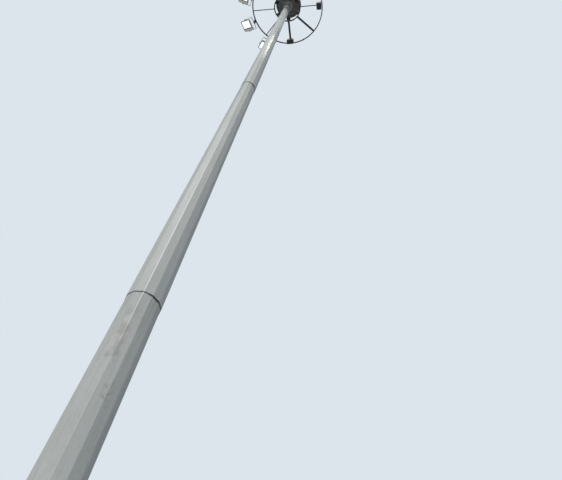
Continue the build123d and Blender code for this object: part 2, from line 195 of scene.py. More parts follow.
def noise(tree, vector, scale, detail=3.0, roughness=0.55):
    """Noise texture at a place and scale. Scale is a socket or a number."""
    made = tree.nodes.new("ShaderNodeTexNoise")
    fill(made.inputs, {"Detail": detail, "Roughness": roughness})
    tree.links.new(vector, made.inputs["Vector"])
    feed(tree, scale, made.inputs["Scale"])
    return made.outputs["Fac"]


# %% Place helpers
def object_place(tree):
    """Object coordinates: metres in the frame of the parts."""
    return tree.nodes.new("ShaderNodeTexCoord").outputs["Object"]


def place_axes(tree):
    """Object coordinates as three sockets, named X, Y and Z."""
    parts = tree.nodes.new("ShaderNodeSeparateXYZ")
    tree.links.new(object_place(tree), parts.inputs["Vector"])
    return parts.outputs


def turn_round_axis(tree):
    """Azimuth of a point round the mast's axis, in radians."""
    axes = place_axes(tree)
    return math_node(tree, "ARCTAN2", axes["Y"], axes["X"])


# %% Group helpers
def new_group(name, inputs, output):
    """Node group with float inputs {name: default} and one float output.

    Returns the group and the sockets that its inputs come in by."""
    tree = bpy.data.node_groups.new(name, "ShaderNodeTree")
    for label, value in inputs.items():
        socket = tree.interface.new_socket(label, in_out="INPUT", socket_type="NodeSocketFloat")
        socket.default_value = value
    tree.interface.new_socket(output, in_out="OUTPUT", socket_type="NodeSocketFloat")
    return tree, tree.nodes.new("NodeGroupInput").outputs


def put_out(tree, value):
    """Makes a socket the output of its group."""
    tree.links.new(value, tree.nodes.new("NodeGroupOutput").inputs[0])
    print("group", tree.name)


def soft_edge(tree, distance, softness):
    """Rises from 0 to 1 over the softness, with a half where the distance is 0."""
    return math_node(tree, "ADD", math_node(tree, "DIVIDE", distance, softness), 0.5, clamp=True)


def past_threshold(tree, value, given):
    """Mask of where a value is over the group's Threshold, with its Softness as edge."""
    past = math_node(tree, "SUBTRACT", value, given["Threshold"])
    return soft_edge(tree, past, given["Softness"])


# %% [markdown]
# ## Zinc crystals and grain
#
# Hot-dip galvanising leaves flat crystals, a finger's width across, each with its own tone.
# A Voronoi texture gives that directly: every cell has one random value. Fine grain is
# plain noise, used only as bump height.

# %% Shared groups: zinc crystals and grain
zinc_crystals, given = new_group("zinc_crystals", {"Crystal Size": 0.018}, "Tone")
cells = zinc_crystals.nodes.new("ShaderNodeTexVoronoi")
cell_parts = zinc_crystals.nodes.new("ShaderNodeSeparateColor")
crystal_scale = math_node(zinc_crystals, "DIVIDE", 1.0, given["Crystal Size"])
zinc_crystals.links.new(object_place(zinc_crystals), cells.inputs["Vector"])
zinc_crystals.links.new(crystal_scale, cells.inputs["Scale"])
zinc_crystals.links.new(cells.outputs["Color"], cell_parts.inputs["Color"])
put_out(zinc_crystals, cell_parts.outputs["Red"])

fine_grain, given = new_group("fine_grain", {"Grain Size": 0.002}, "Height")
grain_scale = math_node(fine_grain, "DIVIDE", 1.0, given["Grain Size"])
put_out(fine_grain, noise(fine_grain, object_place(fine_grain), grain_scale))

# %% [markdown]
# ## Rain streaks and blotches
#
# Rain washes dirt down the mast, so its stains are long and narrow: noise stretched along Z.
# Blotches are the same noise left round. Both come from one group, whose inputs are the
# stain's width and its length in metres.

# %% Shared group: stains
stains, given = new_group(
    "stains", {"Width": 0.04, "Length": 0.6, "Threshold": 0.5, "Softness": 0.15}, "Mask"
)
across = math_node(stains, "DIVIDE", 1.0, given["Width"])
along = math_node(stains, "DIVIDE", 1.0, given["Length"])
scales = stains.nodes.new("ShaderNodeCombineXYZ")
for axis, scale in (("X", across), ("Y", across), ("Z", along)):
    stains.links.new(scale, scales.inputs[axis])
stretched = stains.nodes.new("ShaderNodeVectorMath")
stretched.operation = "MULTIPLY"
stains.links.new(object_place(stains), stretched.inputs[0])
stains.links.new(scales.outputs["Vector"], stretched.inputs[1])
raw = noise(stains, stretched.outputs["Vector"], 1.0, detail=4.0)
put_out(stains, past_threshold(stains, raw, given))

# %% [markdown]
# ## Dirt and painted shade under a rim
#
# Dirt and painted shade collect right under the rim of each slip joint and fade downwards, so
# one group turns the height of a point into a band that fades, and another into a stretch of
# the mast with soft ends. A picture painted round the mast could do the same, but a mask that
# is worked out from the height needs no unwrapping and stays sharp at any distance.

# %% Shared groups: bands and stretches
band_below, given = new_group("band_below", {"Top": 1.0, "Reach": 0.5}, "Mask")
depth = math_node(band_below, "SUBTRACT", given["Top"], place_axes(band_below)["Z"])
share = math_node(band_below, "DIVIDE", depth, given["Reach"])
fade = math_node(band_below, "SUBTRACT", 1.0, share, clamp=True)
under_top = math_node(band_below, "GREATER_THAN", depth, 0.0)
put_out(band_below, math_node(band_below, "MULTIPLY", fade, under_top))

stretch_between, given = new_group(
    "stretch_between", {"Low": 0.0, "High": 1.0, "Softness": 0.5}, "Mask"
)
height = place_axes(stretch_between)["Z"]
over_low = math_node(stretch_between, "SUBTRACT", height, given["Low"])
under_high = math_node(stretch_between, "SUBTRACT", given["High"], height)
nearest = math_node(stretch_between, "MINIMUM", over_low, under_high)
put_out(stretch_between, soft_edge(stretch_between, nearest, given["Softness"]))

# %% [markdown]
# ## Sides, bends and dust
#
# Marks of weather and of painted light and shade lie on one side: a group says how far a point
# lies towards an azimuth. The bends between the flats get painted glints, and a cosine with one
# wave for each flat finds all twelve. Dust lies on what faces up, so its group reads the surface
# normal.

# %% Shared groups: sides and bends
towards_side, given = new_group(
    "towards_side", {"Azimuth": 0.0, "Threshold": 0.3, "Softness": 0.4}, "Mask"
)
from_side = math_node(towards_side, "SUBTRACT", turn_round_axis(towards_side), given["Azimuth"])
nearness = math_node(towards_side, "COSINE", from_side)
put_out(towards_side, past_threshold(towards_side, nearness, given))

along_bends, given = new_group("along_bends", {"Threshold": 0.98, "Softness": 0.03}, "Mask")
waves = math_node(along_bends, "MULTIPLY", turn_round_axis(along_bends), float(SIDES))
on_flat = math_node(along_bends, "COSINE", waves)
on_bend = math_node(along_bends, "MULTIPLY", on_flat, -1.0)
put_out(along_bends, past_threshold(along_bends, on_bend, given))

# %% Shared group: settled dust
# Dust lies where the normal's upward share is between these, in patches of noise.
FACES_UP = (0.25, 0.95)
PATCH_SCALE = 9.0
PATCH_EDGE = (0.35, 0.65)
settled_dust, given = new_group("settled_dust", {"Amount": 0.6}, "Mask")
surface = settled_dust.nodes.new("ShaderNodeNewGeometry")
normal_parts = settled_dust.nodes.new("ShaderNodeSeparateXYZ")
settled_dust.links.new(surface.outputs["Normal"], normal_parts.inputs["Vector"])
upward = remap(settled_dust, normal_parts.outputs["Z"], *FACES_UP)
raw_patches = noise(settled_dust, object_place(settled_dust), PATCH_SCALE, detail=5.0)
patches = remap(settled_dust, raw_patches, *PATCH_EDGE)
settled = math_node(settled_dust, "MULTIPLY", upward, patches)
put_out(settled_dust, math_node(settled_dust, "MULTIPLY", settled, given["Amount"]))

# %% [markdown]
# ## A material recipe
#
# Each finish starts from one colour and lays tones over it in order: crystals, stains, dirt,
# rust, dust. `Finish` keeps the colour, roughness and normal that have been reached so far,
# so a material reads as a list of layers. Its short methods place the shared groups. What is
# the same all over, such as the coat, is set straight on the shader. Painted pictures would
# need unwrapped meshes and stay fixed in size. Layers of nodes fit any part and any distance.


# %% The layered finish
class Finish:
    """Principled material that is built up in layers."""

    def __init__(self, name, colour, roughness, metallic=0.0):
        self.material = bpy.data.materials.new(name)
        self.material.use_nodes = True
        self.tree = self.material.node_tree
        self.shader = self.tree.nodes["Principled BSDF"]
        self.uniform(Base_Color=(*colour, 1.0), Roughness=roughness, Metallic=metallic)
        self.colour = None
        self.roughness = None
        self.normal = None

    def uniform(self, **values):
        """Sets shader sockets that are the same all over."""
        fill(self.shader.inputs, values)

    def group(self, source, **values):
        """Places a shared group and returns its output."""
        made = self.tree.nodes.new("ShaderNodeGroup")
        made.node_tree = source
        fill(made.inputs, values)
        return made.outputs[0]

    def stain(self, width, length, threshold, softness):
        """Mask of stains of a width and length. A higher threshold leaves fewer."""
        return self.group(
            stains, Width=width, Length=length, Threshold=threshold, Softness=softness
        )

    def between(self, low_end, high_end, softness):
        """Mask of what lies between two heights."""
        return self.group(stretch_between, Low=low_end, High=high_end, Softness=softness)

    def below(self, top, reach):
        """Mask that is full right below a height and fades over a reach."""
        return self.group(band_below, Top=top, Reach=reach)

    def side(self, azimuth, threshold, softness):
        """Mask of the side that faces an azimuth in degrees."""
        azimuth = math.radians(azimuth)
        return self.group(towards_side, Azimuth=azimuth, Threshold=threshold, Softness=softness)

    def both(self, first, second):
        """Where both masks are."""
        return math_node(self.tree, "MULTIPLY", first, second, clamp=True)

    def mixed(self, data_type, factor, reached, socket, new_value):
        """Mix of what has been reached, or else of a shader socket's value, with a new value."""
        mix = self.tree.nodes.new("ShaderNodeMix")
        mix.data_type = data_type
        self.tree.links.new(factor, mix.inputs["Factor"])
        if reached is None:
            mix.inputs["A"].default_value = self.shader.inputs[socket].default_value
        else:
            self.tree.links.new(reached, mix.inputs["A"])
        mix.inputs["B"].default_value = new_value
        return mix.outputs["Result"]

    def layer(self, mask, colour, roughness=None, strength=1.0):
        """Lays a colour over what is there, where the mask is."""
        factor = math_node(self.tree, "MULTIPLY", mask, strength, clamp=True)
        self.colour = self.mixed("RGBA", factor, self.colour, "Base Color", (*colour, 1.0))
        if roughness is not None:
            self.roughness = self.mixed("FLOAT", factor, self.roughness, "Roughness", roughness)

    def raise_surface(self, height, distance, strength):
        """Bump: a height map, with the real height of its full range in metres."""
        bump = self.tree.nodes.new("ShaderNodeBump")
        fill(bump.inputs, {"Distance": distance, "Strength": strength})
        self.tree.links.new(height, bump.inputs["Height"])
        if self.normal is not None:
            self.tree.links.new(self.normal, bump.inputs["Normal"])
        self.normal = bump.outputs["Normal"]

    def grain(self, size, distance, strength):
        """Fine grain of a size, raised by a distance."""
        self.raise_surface(self.group(fine_grain, Grain_Size=size), distance, strength)

    def done(self):
        """Links what has been reached to the shader and returns the material."""
        reached = {"Base Color": self.colour, "Roughness": self.roughness, "Normal": self.normal}
        for label, socket in reached.items():
            if socket is not None:
                self.tree.links.new(socket, self.shader.inputs[label])
        print("finish", self.material.name, len(self.tree.nodes), "nodes")
        return self.material


# %% Finishes with a few stains
def stained(name, colour, roughness, metallic, layers, grain):
    """Finish with stains over one colour, and fine grain.

    A layer is the four values of its stain, then a colour, roughness and strength. The grain
    is its size, distance and strength."""
    finish = Finish(name, colour, roughness, metallic)
    for stain_values, *look in layers:
        finish.layer(finish.stain(*stain_values), *look)
    finish.grain(*grain)
    return finish


# %% [markdown]
# ## Weathered zinc of the mast
#
# From a distance the mast is a matt, slightly warm light grey. Close up it shows crystals,
# dull blotches as long as an arm and faint vertical streaks. Weathered zinc is hardly
# metallic any more: it scatters light like a stone, with a soft sheen. So the material is a
# matt grey under a faint coat, and not a metal.

# %% Zinc of every galvanised piece
ZINC = (0.445, 0.452, 0.440)
ZINC_DULL = (0.372, 0.378, 0.366)
ZINC_BRIGHT = (0.505, 0.510, 0.496)
ZINC_STREAK = (0.270, 0.275, 0.262)
PLAIN_COAT = 0.01
# A stain is a width, length, threshold and softness. Grain is a size, distance and strength.
ZINC_BLOTCHES = (0.35, 0.9, 0.5, 0.3)
ZINC_STREAKS = (0.022, 0.8, 0.6, 0.12)
ZINC_GRAIN = (0.0015, 0.0001, 0.10)
# Crystals turn brighter from the middle tone up, and duller from it down.
BRIGHT_TONES = (0.55, 1.0)
DULL_TONES = (0.45, 0.0)


def zinc_finish(name, crystal_size=0.018):
    """The layers that every galvanised piece has."""
    finish = Finish(name, ZINC, roughness=0.58)
    finish.uniform(Specular_IOR_Level=0.25, Coat_Weight=PLAIN_COAT, Coat_Roughness=0.26)
    finish.layer(finish.stain(*ZINC_BLOTCHES), ZINC_DULL, roughness=0.66, strength=0.30)
    tone = finish.group(zinc_crystals, Crystal_Size=crystal_size)
    bright_cells = remap(finish.tree, tone, *BRIGHT_TONES)
    dull_cells = remap(finish.tree, tone, *DULL_TONES)
    finish.layer(bright_cells, ZINC_BRIGHT, roughness=0.50, strength=0.22)
    finish.layer(dull_cells, ZINC_DULL, roughness=0.64, strength=0.22)
    finish.layer(finish.stain(*ZINC_STREAKS), ZINC_STREAK, roughness=0.65, strength=0.25)
    finish.grain(*ZINC_GRAIN)
    return finish


# %% [markdown]
# ## What the years did to the mast, and painted light and shade
#
# Right under each joint rim the zinc is dark with dirt and painted shade from the rim, most of
# all on the shaded side. The lower section is scuffed, as if something was dragged over it.
# The sides get painted light and shade: the lit side of the upper stretch and the far side are
# darker, a patch on the right near the head is lighter, one bend gets a strong painted glint,
# and the top below the canopy gets its painted shadow. A stretch of the upper section has
# fresher zinc with more shine. Each mark is a mask of heights, mostly times the mask of a
# side, laid where the photograph shows it. The foot is out of its view, and gets the soil
# that rain splashes up.

# %% Mast: dirt and painted shade under the rims
RIM_DIRT_AND_SHADE = (0.03, 0.03, 0.028)
DIRT = (0.085, 0.080, 0.068)
RIM_REACHES = {joint_1: 0.016, joint_2: 0.030}
DEEPER_BY = 2.2
LONG_REACH = 0.7
RUN_STAIN = (0.030, 0.5, 0.5, 0.25)
SHADED_SIDE = (318, 0.75, 0.3)
mast = zinc_finish("mast_zinc")
run_marks = mast.stain(*RUN_STAIN)
shaded_side = mast.side(*SHADED_SIDE)
for joint, rim_reach in RIM_REACHES.items():
    # Under each rim: a dark band that is partly dirt and partly painted shade from the rim.
    mast.layer(mast.below(joint, rim_reach), RIM_DIRT_AND_SHADE, roughness=0.9, strength=1.6)
    # Painted shade: the band reaches deeper on the side turned away from the key light.
    deep_rim_shade = mast.both(mast.below(joint, DEEPER_BY * rim_reach), shaded_side)
    mast.layer(deep_rim_shade, RIM_DIRT_AND_SHADE, roughness=0.9, strength=2.5)
    long_dirt = mast.both(mast.below(joint, LONG_REACH), run_marks)
    mast.layer(long_dirt, DIRT, roughness=0.8, strength=0.25)
print("dirt under rims at", [round(joint, 2) for joint in RIM_REACHES])

# %% Mast: scuffs
SCUFF_BROWN = (0.235, 0.205, 0.165)
SOFT_ENDS = 0.2
SCUFF_EDGE = (0.95, 0.05)
MARK_STRETCH = 1.5
MARK_SOFTNESS = 0.14
# Low and high end, azimuth, width of a mark, its threshold and strength.
SCUFFS = (
    (5.05, 5.80, 252, 0.10, 0.52, 0.42),
    (4.62, 4.82, 286, 0.03, 0.58, 0.70),
)
for low_end, high_end, azimuth, width, threshold, strength in SCUFFS:
    at_height = mast.between(low_end, high_end, SOFT_ENDS)
    scuffed = mast.both(at_height, mast.side(azimuth, *SCUFF_EDGE))
    marks = mast.stain(width, MARK_STRETCH * width, threshold, MARK_SOFTNESS)
    mast.layer(mast.both(scuffed, marks), SCUFF_BROWN, roughness=0.8, strength=strength)
print("scuffed places", len(SCUFFS))

# %% Mast: painted light and shade on its sides
LIT_SIDE_SHADE_GREY = (0.305, 0.328, 0.332)
FAR_SIDE_SHADE_GREY = (0.250, 0.265, 0.270)
PAINTED_LIGHT_ZINC = (0.70, 0.71, 0.70)
ABOVE_TOP = mast_top + 1.0
# A stretch is a low end, high end and softness. A side is an azimuth, threshold and softness.
UPPER_STRETCH = (11.2, ABOVE_TOP, 1.8)
LEFT_SIDE = (226, 0.80, 0.45)
FAR_SIDE = (342, 0.93, 0.10)
LIT_UP_STRETCH = (16.9, 18.7, 0.8)
LIT_UP_SIDE = (314, 0.86, 0.16)
# Painted shade: the key-lit left side of the upper stretch is toned darker.
upper_left_shade = mast.both(mast.between(*UPPER_STRETCH), mast.side(*LEFT_SIDE))
mast.layer(upper_left_shade, LIT_SIDE_SHADE_GREY, strength=0.75)
# Painted shade: the far side, away from the key light, is darker.
mast.layer(mast.side(*FAR_SIDE), FAR_SIDE_SHADE_GREY, strength=0.45)
# Painted light: a patch on the right side near the head is made lighter.
painted_light_patch = mast.both(mast.between(*LIT_UP_STRETCH), mast.side(*LIT_UP_SIDE))
mast.layer(painted_light_patch, PAINTED_LIGHT_ZINC, strength=0.8)
print("sides toned at azimuths", LEFT_SIDE[0], FAR_SIDE[0], LIT_UP_SIDE[0])

# %% Mast: painted canopy shadow and grime below the head
CANOPY_SHADOW_GREY = (0.155, 0.160, 0.158)
HEAD_RUNS = (0.10, 0.075, 0.06)
CANOPY_SHADOW_STRETCH = (18.75, ABOVE_TOP, 0.5)
RUNS_REACH = 1.4
# Painted shadow of the canopy on the mast's top; the runs below it are dirt.
mast.layer(mast.between(*CANOPY_SHADOW_STRETCH), CANOPY_SHADOW_GREY, roughness=0.8, strength=0.85)
head_runs = mast.both(mast.below(mast_top, RUNS_REACH), run_marks)
mast.layer(head_runs, HEAD_RUNS, roughness=0.85, strength=0.6)
print("grime above", CANOPY_SHADOW_STRETCH[0], "m")

# %% Mast: painted glints on the bends
GLINT_ZINC = (0.74, 0.75, 0.73)
GLINT_PATCHES = (0.09, 0.25, 0.42, 0.25)
GLINT_SIDE = (255, 0.98, 0.02)
GLINT_STRETCH = (5.6, 11.0, 1.2)
bends = mast.group(along_bends, Threshold=0.975, Softness=0.04)
# Painted glints: faint ones in patches on every bend, and a strong one on the 255 degree bend.
mast.layer(mast.both(bends, mast.stain(*GLINT_PATCHES)), GLINT_ZINC, strength=0.12)
glint_part = mast.both(mast.side(*GLINT_SIDE), mast.between(*GLINT_STRETCH))
mast.layer(mast.both(bends, glint_part), GLINT_ZINC, roughness=0.45, strength=0.75)
print("rubbed bend at azimuth", GLINT_SIDE[0])

# %% Mast: shine of fresher and rubbed zinc
# A stretch of heights and the weight that the coat rises to there.
FRESH_SHINE = ((14.6, 16.1, 1.3), 0.26)
RUBBED_SHINE = ((4.9, 9.4, 1.4), 0.08)
shines = [
    remap(mast.tree, mast.between(*stretch), 0.0, 1.0, PLAIN_COAT, coat)
    for stretch, coat in (FRESH_SHINE, RUBBED_SHINE)
]
shine = math_node(mast.tree, "MAXIMUM", *shines)
mast.tree.links.new(shine, mast.shader.inputs["Coat Weight"])
print("coat up to", FRESH_SHINE[1])

# %% Mast: splashes at the foot
SOIL = (0.200, 0.160, 0.115)
UNDERGROUND = -1.0
SPLASH_STRETCH = (UNDERGROUND, 0.20, 0.42)
HAZE_STRETCH = (UNDERGROUND, 0.10, 0.24)
SPECKLE_STAIN = (0.014, 0.020, 0.52, 0.14)
splash = mast.both(mast.between(*SPLASH_STRETCH), mast.stain(*SPECKLE_STAIN))
mast.layer(splash, SOIL, roughness=0.9, strength=0.65)
mast.layer(mast.between(*HAZE_STRETCH), SOIL, roughness=0.9, strength=0.30)
mast_zinc = mast.done()

# %% Fasteners
RUST = (0.180, 0.070, 0.028)
RUST_SPOTS = (0.008, 0.010, 0.62, 0.08)
fastener = zinc_finish("fastener_zinc", crystal_size=0.004)
fastener.layer(fastener.stain(*RUST_SPOTS), RUST, roughness=0.9, strength=0.7)
fastener_zinc = fastener.done()

# %% [markdown]
# ## Weld beads
#
# A weld keeps the shape of its ripples, and its zinc is darker and shinier than the plate
# beside it. A wave texture would need to follow every bead, so the ripples are modelled and
# the material only adds tone.

# %% Weld
weld_zinc = stained(
    "weld_zinc", colour=(0.30, 0.30, 0.29), roughness=0.42, metallic=0.35,
    layers=[((0.010, 0.010, 0.5, 0.3), (0.20, 0.20, 0.19), 0.6, 0.6)],
    grain=(0.0012, 0.0004, 0.5),
).done()

# %% [markdown]
# ## Dark paint of the carriage
#
# Against the sky the ring, its spokes and the boxes read as near black. The paint is a dark
# blue-grey, chalky on top with settled dust, and chipped to rust in small spots. The head
# and the canopy have the same paint in lighter colours, so one function makes all four.

# %% Dark paint
RUST_RUN = (0.075, 0.042, 0.025)
PALE_DUST = (0.23, 0.21, 0.18)
CHALK_STAIN = (0.10, 0.14, 0.5, 0.3)
FLAKE_STAIN = (0.014, 0.02, 0.66, 0.05)
RUST_STAIN = (0.02, 0.16, 0.6, 0.15)
CHALK_GAIN = 1.6
CHALK_LIFT = 0.004
CHALK_ROUGHER = 0.2
FLAKE_DEPTH = 0.0004
PAINT_GRAIN = (0.004, 0.0004, 0.4)


def dark_paint(name, colour, roughness, rust_amount, dust_amount):
    """Weathered dark paint: chalky blotches, rust spots and dust on top."""
    finish = Finish(name, colour, roughness)
    finish.uniform(Specular_IOR_Level=0.35)
    lighter = tuple(channel * CHALK_GAIN + CHALK_LIFT for channel in colour)
    chalky = min(1.0, roughness + CHALK_ROUGHER)
    flakes = finish.stain(*FLAKE_STAIN)
    dust = finish.group(settled_dust, Amount=dust_amount)
    finish.layer(finish.stain(*CHALK_STAIN), lighter, chalky, strength=0.6)
    finish.layer(flakes, RUST, roughness=0.92, strength=rust_amount)
    finish.layer(finish.stain(*RUST_STAIN), RUST_RUN, 0.85, strength=rust_amount * 0.5)
    finish.layer(dust, PALE_DUST, roughness=0.95)
    finish.grain(*PAINT_GRAIN)
    finish.raise_surface(flakes, -FLAKE_DEPTH, strength=0.6)
    return finish


# %% Carriage, head and canopy paints
RUSTY_PINK = (0.215, 0.175, 0.180)
RUSTY_SIDE = (325, 0.1, 0.7)
# A paint is a colour, roughness, amount of rust and amount of dust.
CARRIAGE_PAINT = ((0.010, 0.014, 0.019), 0.52, 0.4, 0.45)
HEAD_PAINT = ((0.190, 0.190, 0.185), 0.60, 0.7, 0.5)
BOX_PAINT = ((0.010, 0.013, 0.017), 0.45, 0.12, 0.5)
CANOPY_PAINT = ((0.145, 0.195, 0.180), 0.60, 0.3, 0.7)
carriage_paint = dark_paint("carriage_paint", *CARRIAGE_PAINT).done()
head_paint = dark_paint("head_paint", *HEAD_PAINT).done()
box_paint = dark_paint("box_paint", *BOX_PAINT).done()
canopy_finish = dark_paint("canopy_paint", *CANOPY_PAINT)
rusty_side = canopy_finish.side(*RUSTY_SIDE)
canopy_finish.layer(rusty_side, RUSTY_PINK, roughness=0.85, strength=0.85)
canopy_paint = canopy_finish.done()

# %% [markdown]
# ## Pulleys, ropes, rubber and castings
#
# Turned pulley flanks are bare where the rope runs and brown elsewhere. Rope wire is bright
# with grease in its grooves. Roller rubber is matt with scuffs. Lamp castings are light
# grey powder coat, dulled on top by dust. Each is one colour with one or two kinds of stain,
# so `stained` makes them all from their numbers.

# %% Pulleys, ropes and rubber
pulley_steel = stained(
    "pulley_steel", colour=(0.26, 0.25, 0.24), roughness=0.38, metallic=0.8,
    layers=[((0.03, 0.03, 0.5, 0.2), (0.13, 0.075, 0.045), 0.8, 0.75)],
    grain=(0.0009, 0.0002, 0.5),
).done()
rope_wire = stained(
    "rope_wire", colour=(0.42, 0.42, 0.41), roughness=0.35, metallic=0.85,
    layers=[((0.004, 0.05, 0.48, 0.15), (0.07, 0.065, 0.055), 0.55, 0.8)],
    grain=(0.0005, 0.0002, 0.6),
).done()
roller_rubber = stained(
    "roller_rubber", colour=(0.030, 0.030, 0.031), roughness=0.80, metallic=0.0,
    layers=[((0.012, 0.03, 0.55, 0.1), (0.11, 0.11, 0.105), 0.9, 0.5)],
    grain=(0.001, 0.0003, 0.6),
).done()
gasket_rubber = stained(
    "gasket_rubber", colour=(0.018, 0.018, 0.018), roughness=0.7, metallic=0.0,
    layers=[((0.02, 0.02, 0.5, 0.3), (0.04, 0.04, 0.038), 0.85, 0.6)],
    grain=(0.001, 0.0002, 0.4),
).done()

# %% Lamp casting
casting = stained(
    "lamp_casting", colour=(0.54, 0.52, 0.47), roughness=0.50, metallic=0.1,
    layers=[
        ((0.08, 0.08, 0.5, 0.3), (0.62, 0.60, 0.55), 0.66, 0.6),
        ((0.01, 0.09, 0.58, 0.15), (0.27, 0.25, 0.21), 0.8, 0.5),
    ],
    grain=(0.0025, 0.0004, 0.5),
)
CASTING_DUST = (0.40, 0.37, 0.31)
casting.layer(casting.group(settled_dust, Amount=0.7), CASTING_DUST, roughness=0.95)
lamp_casting = casting.done()

# %% [markdown]
# ## Lit glass
#
# The floodlights are switched on: their glass is nearly plain white, with soft patches that
# are a little bluer, where the reflector shows through. Lamps behind the glass would need many
# more samples, and daylight drowns what the real ones throw on the mast, so the glass itself
# gives off a little light. Emission Color carries its pattern, and the strength is only
# enough to read as white.

# %% Glass
GLASS = (0.80, 0.82, 0.84)
GLASS_BRIGHT = (0.90, 0.92, 0.94)
BLUE_WHITE = (0.86, 0.90, 0.95, 1.0)
FULL_WHITE = (1.0, 1.0, 1.0, 1.0)
GLOW_STAIN = (0.05, 0.05, 0.35, 0.5)
GLASS_GRAIN = (0.006, 0.0002, 0.2)
glass = Finish("lamp_glass_lit", GLASS, roughness=0.10)
glass.uniform(Emission_Strength=0.9, Coat_Weight=0.6, Coat_Roughness=0.05)
glow = glass.stain(*GLOW_STAIN)
glass.layer(glow, GLASS_BRIGHT, roughness=0.16, strength=0.6)
glass.grain(*GLASS_GRAIN)
glow_mix = glass.tree.nodes.new("ShaderNodeMix")
glow_mix.data_type = "RGBA"
glass.tree.links.new(glow, glow_mix.inputs["Factor"])
glow_mix.inputs["A"].default_value = BLUE_WHITE
glow_mix.inputs["B"].default_value = FULL_WHITE
glass.tree.links.new(glow_mix.outputs["Result"], glass.shader.inputs["Emission Color"])
lamp_glass = glass.done()

# %% [markdown]
# ## Finish the construction parts
#
# The parts keep their shape. Each gets the finish of its material slot, by the names that
# the record gives, so that a part added to the construction is dressed without a new line.

# %% Dress the parts
SLOT_FINISH = {
    "galvanised_steel": mast_zinc,
    "carriage_paint": carriage_paint,
    "head_steel": head_paint,
    "pulley_steel": pulley_steel,
    "canopy_paint": canopy_paint,
    "wire_rope": rope_wire,
    "lamp_casting": lamp_casting,
    "lamp_glass": lamp_glass,
    "gear_box_paint": box_paint,
    "roller_rubber": roller_rubber,
}
slot_of = {part["node"]: part["material_slot"] for part in frame["record"]["subparts"]}
for node_name, part in frame["nodes"].items():
    finish = SLOT_FINISH[slot_of[node_name]]
    if not part.material_slots:
        part.data.materials.append(finish)
    for material_slot in part.material_slots:
        material_slot.material = finish
print("dressed", len(frame["nodes"]), "parts")

# %% [markdown]
# ## Mesh tools
#
# Every added piece is skinned from rings of points: a nut is a few hexagons on top of each
# other, a bead or a rope is a ring carried along a path. One function joins rings into
# faces, and the others make the rings. Many small pieces of one kind become one mesh.


# %% Places
def radial(azimuth, distance, height):
    """Placing matrix at an azimuth in degrees: x outwards, z up."""
    return (
        Matrix.Rotation(math.radians(azimuth), 4, "Z")
        @ Matrix.Translation((distance, 0.0, height))
    )


def shifted(place, x, y, z):
    """The place moved along its own axes."""
    return place @ Matrix.Translation((x, y, z))


def facing(place, direction):
    """The same place with its local z turned to a direction of its own axes."""
    return place @ Vector(direction).to_track_quat("Z", "X").to_matrix().to_4x4()


def flanks(place, half_width):
    """Two places, on either flank of a place, whose local z points away from it."""
    return [facing(shifted(place, 0, side * half_width, 0), (0, side, 0)) for side in (-1, 1)]


# %% Rings and skins
def skin(mesh, rings, closed=False):
    """Joins rings of points with faces. Closed joins the last to the first, else both are capped."""
    rows = [[mesh.verts.new(point) for point in ring] for ring in rings]
    pairs = list(zip(rows, rows[1:]))
    if closed:
        pairs.append((rows[-1], rows[0]))
    for first, second in pairs:
        count = len(first)
        for index in range(count):
            after = (index + 1) % count
            mesh.faces.new((first[index], first[after], second[after], second[index]))
    if not closed:
        mesh.faces.new(tuple(reversed(rows[0])))
        mesh.faces.new(tuple(rows[-1]))


def flat_ring(place, radius, height, count, turn=0.0):
    """Ring of points round the local z axis of a placing matrix."""
    ring = []
    for index in range(count):
        angle = turn + 2 * math.pi * index / count
        ring.append(place @ Vector((radius * math.cos(angle), radius * math.sin(angle), height)))
    return ring


def lathe(mesh, place, profile, count=24, turn=0.0):
    """Skins a profile of (radius, height) pairs round the local z axis."""
    skin(mesh, [flat_ring(place, radius, height, count, turn) for radius, height in profile])


# %% Tubes
NEARLY_UPRIGHT = 0.9


def carried_ring(centre, along, previous_up, radius, count, lobes, lobe_depth, turn):
    """Ring of points square to a path, and the up direction to carry on with."""
    side = along.cross(previous_up).normalized()
    up = side.cross(along).normalized()
    ring = []
    for index in range(count):
        angle = 2 * math.pi * index / count
        grooved = radius * (1 - lobe_depth * (0.5 - 0.5 * math.cos(lobes * (angle - turn))))
        ring.append(centre + side * grooved * math.cos(angle) + up * grooved * math.sin(angle))
    return ring, up


def tube(
    mesh, path, radius, count=8, closed=False,
    ripple=0.0, ripple_length=0.006, lobes=0, lobe_depth=0.0, twist=0.0,
):
    """Carries a round section along a path of points.

    Ripple swells it in waves, lobes groove it and twist turns it, in radians for a metre."""
    ends = (path[-1], path[0]) if closed else (path[0], path[-1])
    # Up has to lie across the path, so a path that starts upright takes x instead of z.
    first_along = (path[1] - path[0]).normalized()
    up = Vector((0, 0, 1)) if abs(first_along.z) < NEARLY_UPRIGHT else Vector((1, 0, 0))
    rings = []
    travelled = 0.0
    for index, centre in enumerate(path):
        before = path[index - 1] if index else ends[0]
        after = path[index + 1] if index + 1 < len(path) else ends[1]
        if index:
            travelled += (centre - path[index - 1]).length
        along = (after - before).normalized()
        swell = 1 + ripple * math.sin(2 * math.pi * travelled / ripple_length)
        ring, up = carried_ring(
            centre, along, up, radius * swell, count, lobes, lobe_depth, twist * travelled
        )
        rings.append(ring)
    skin(mesh, rings, closed=closed)


# %% Paths
def fine_path(corners, step, closed=False):
    """Points at an even step along straight runs between corners."""
    runs = list(zip(corners, corners[1:]))
    if closed:
        runs.append((corners[-1], corners[0]))
    points = []
    for start, end in runs:
        pieces = max(1, round((end - start).length / step))
        points += [start.lerp(end, index / pieces) for index in range(pieces)]
    if not closed:
        points.append(corners[-1])
    return points


# %% [markdown]
# ## Making a piece
#
# `piece` turns a finished mesh into an object, shades it smooth with sharp edges kept, gives
# it its finish and lets it ride on its body. The two bodies are the mast and the carriage.

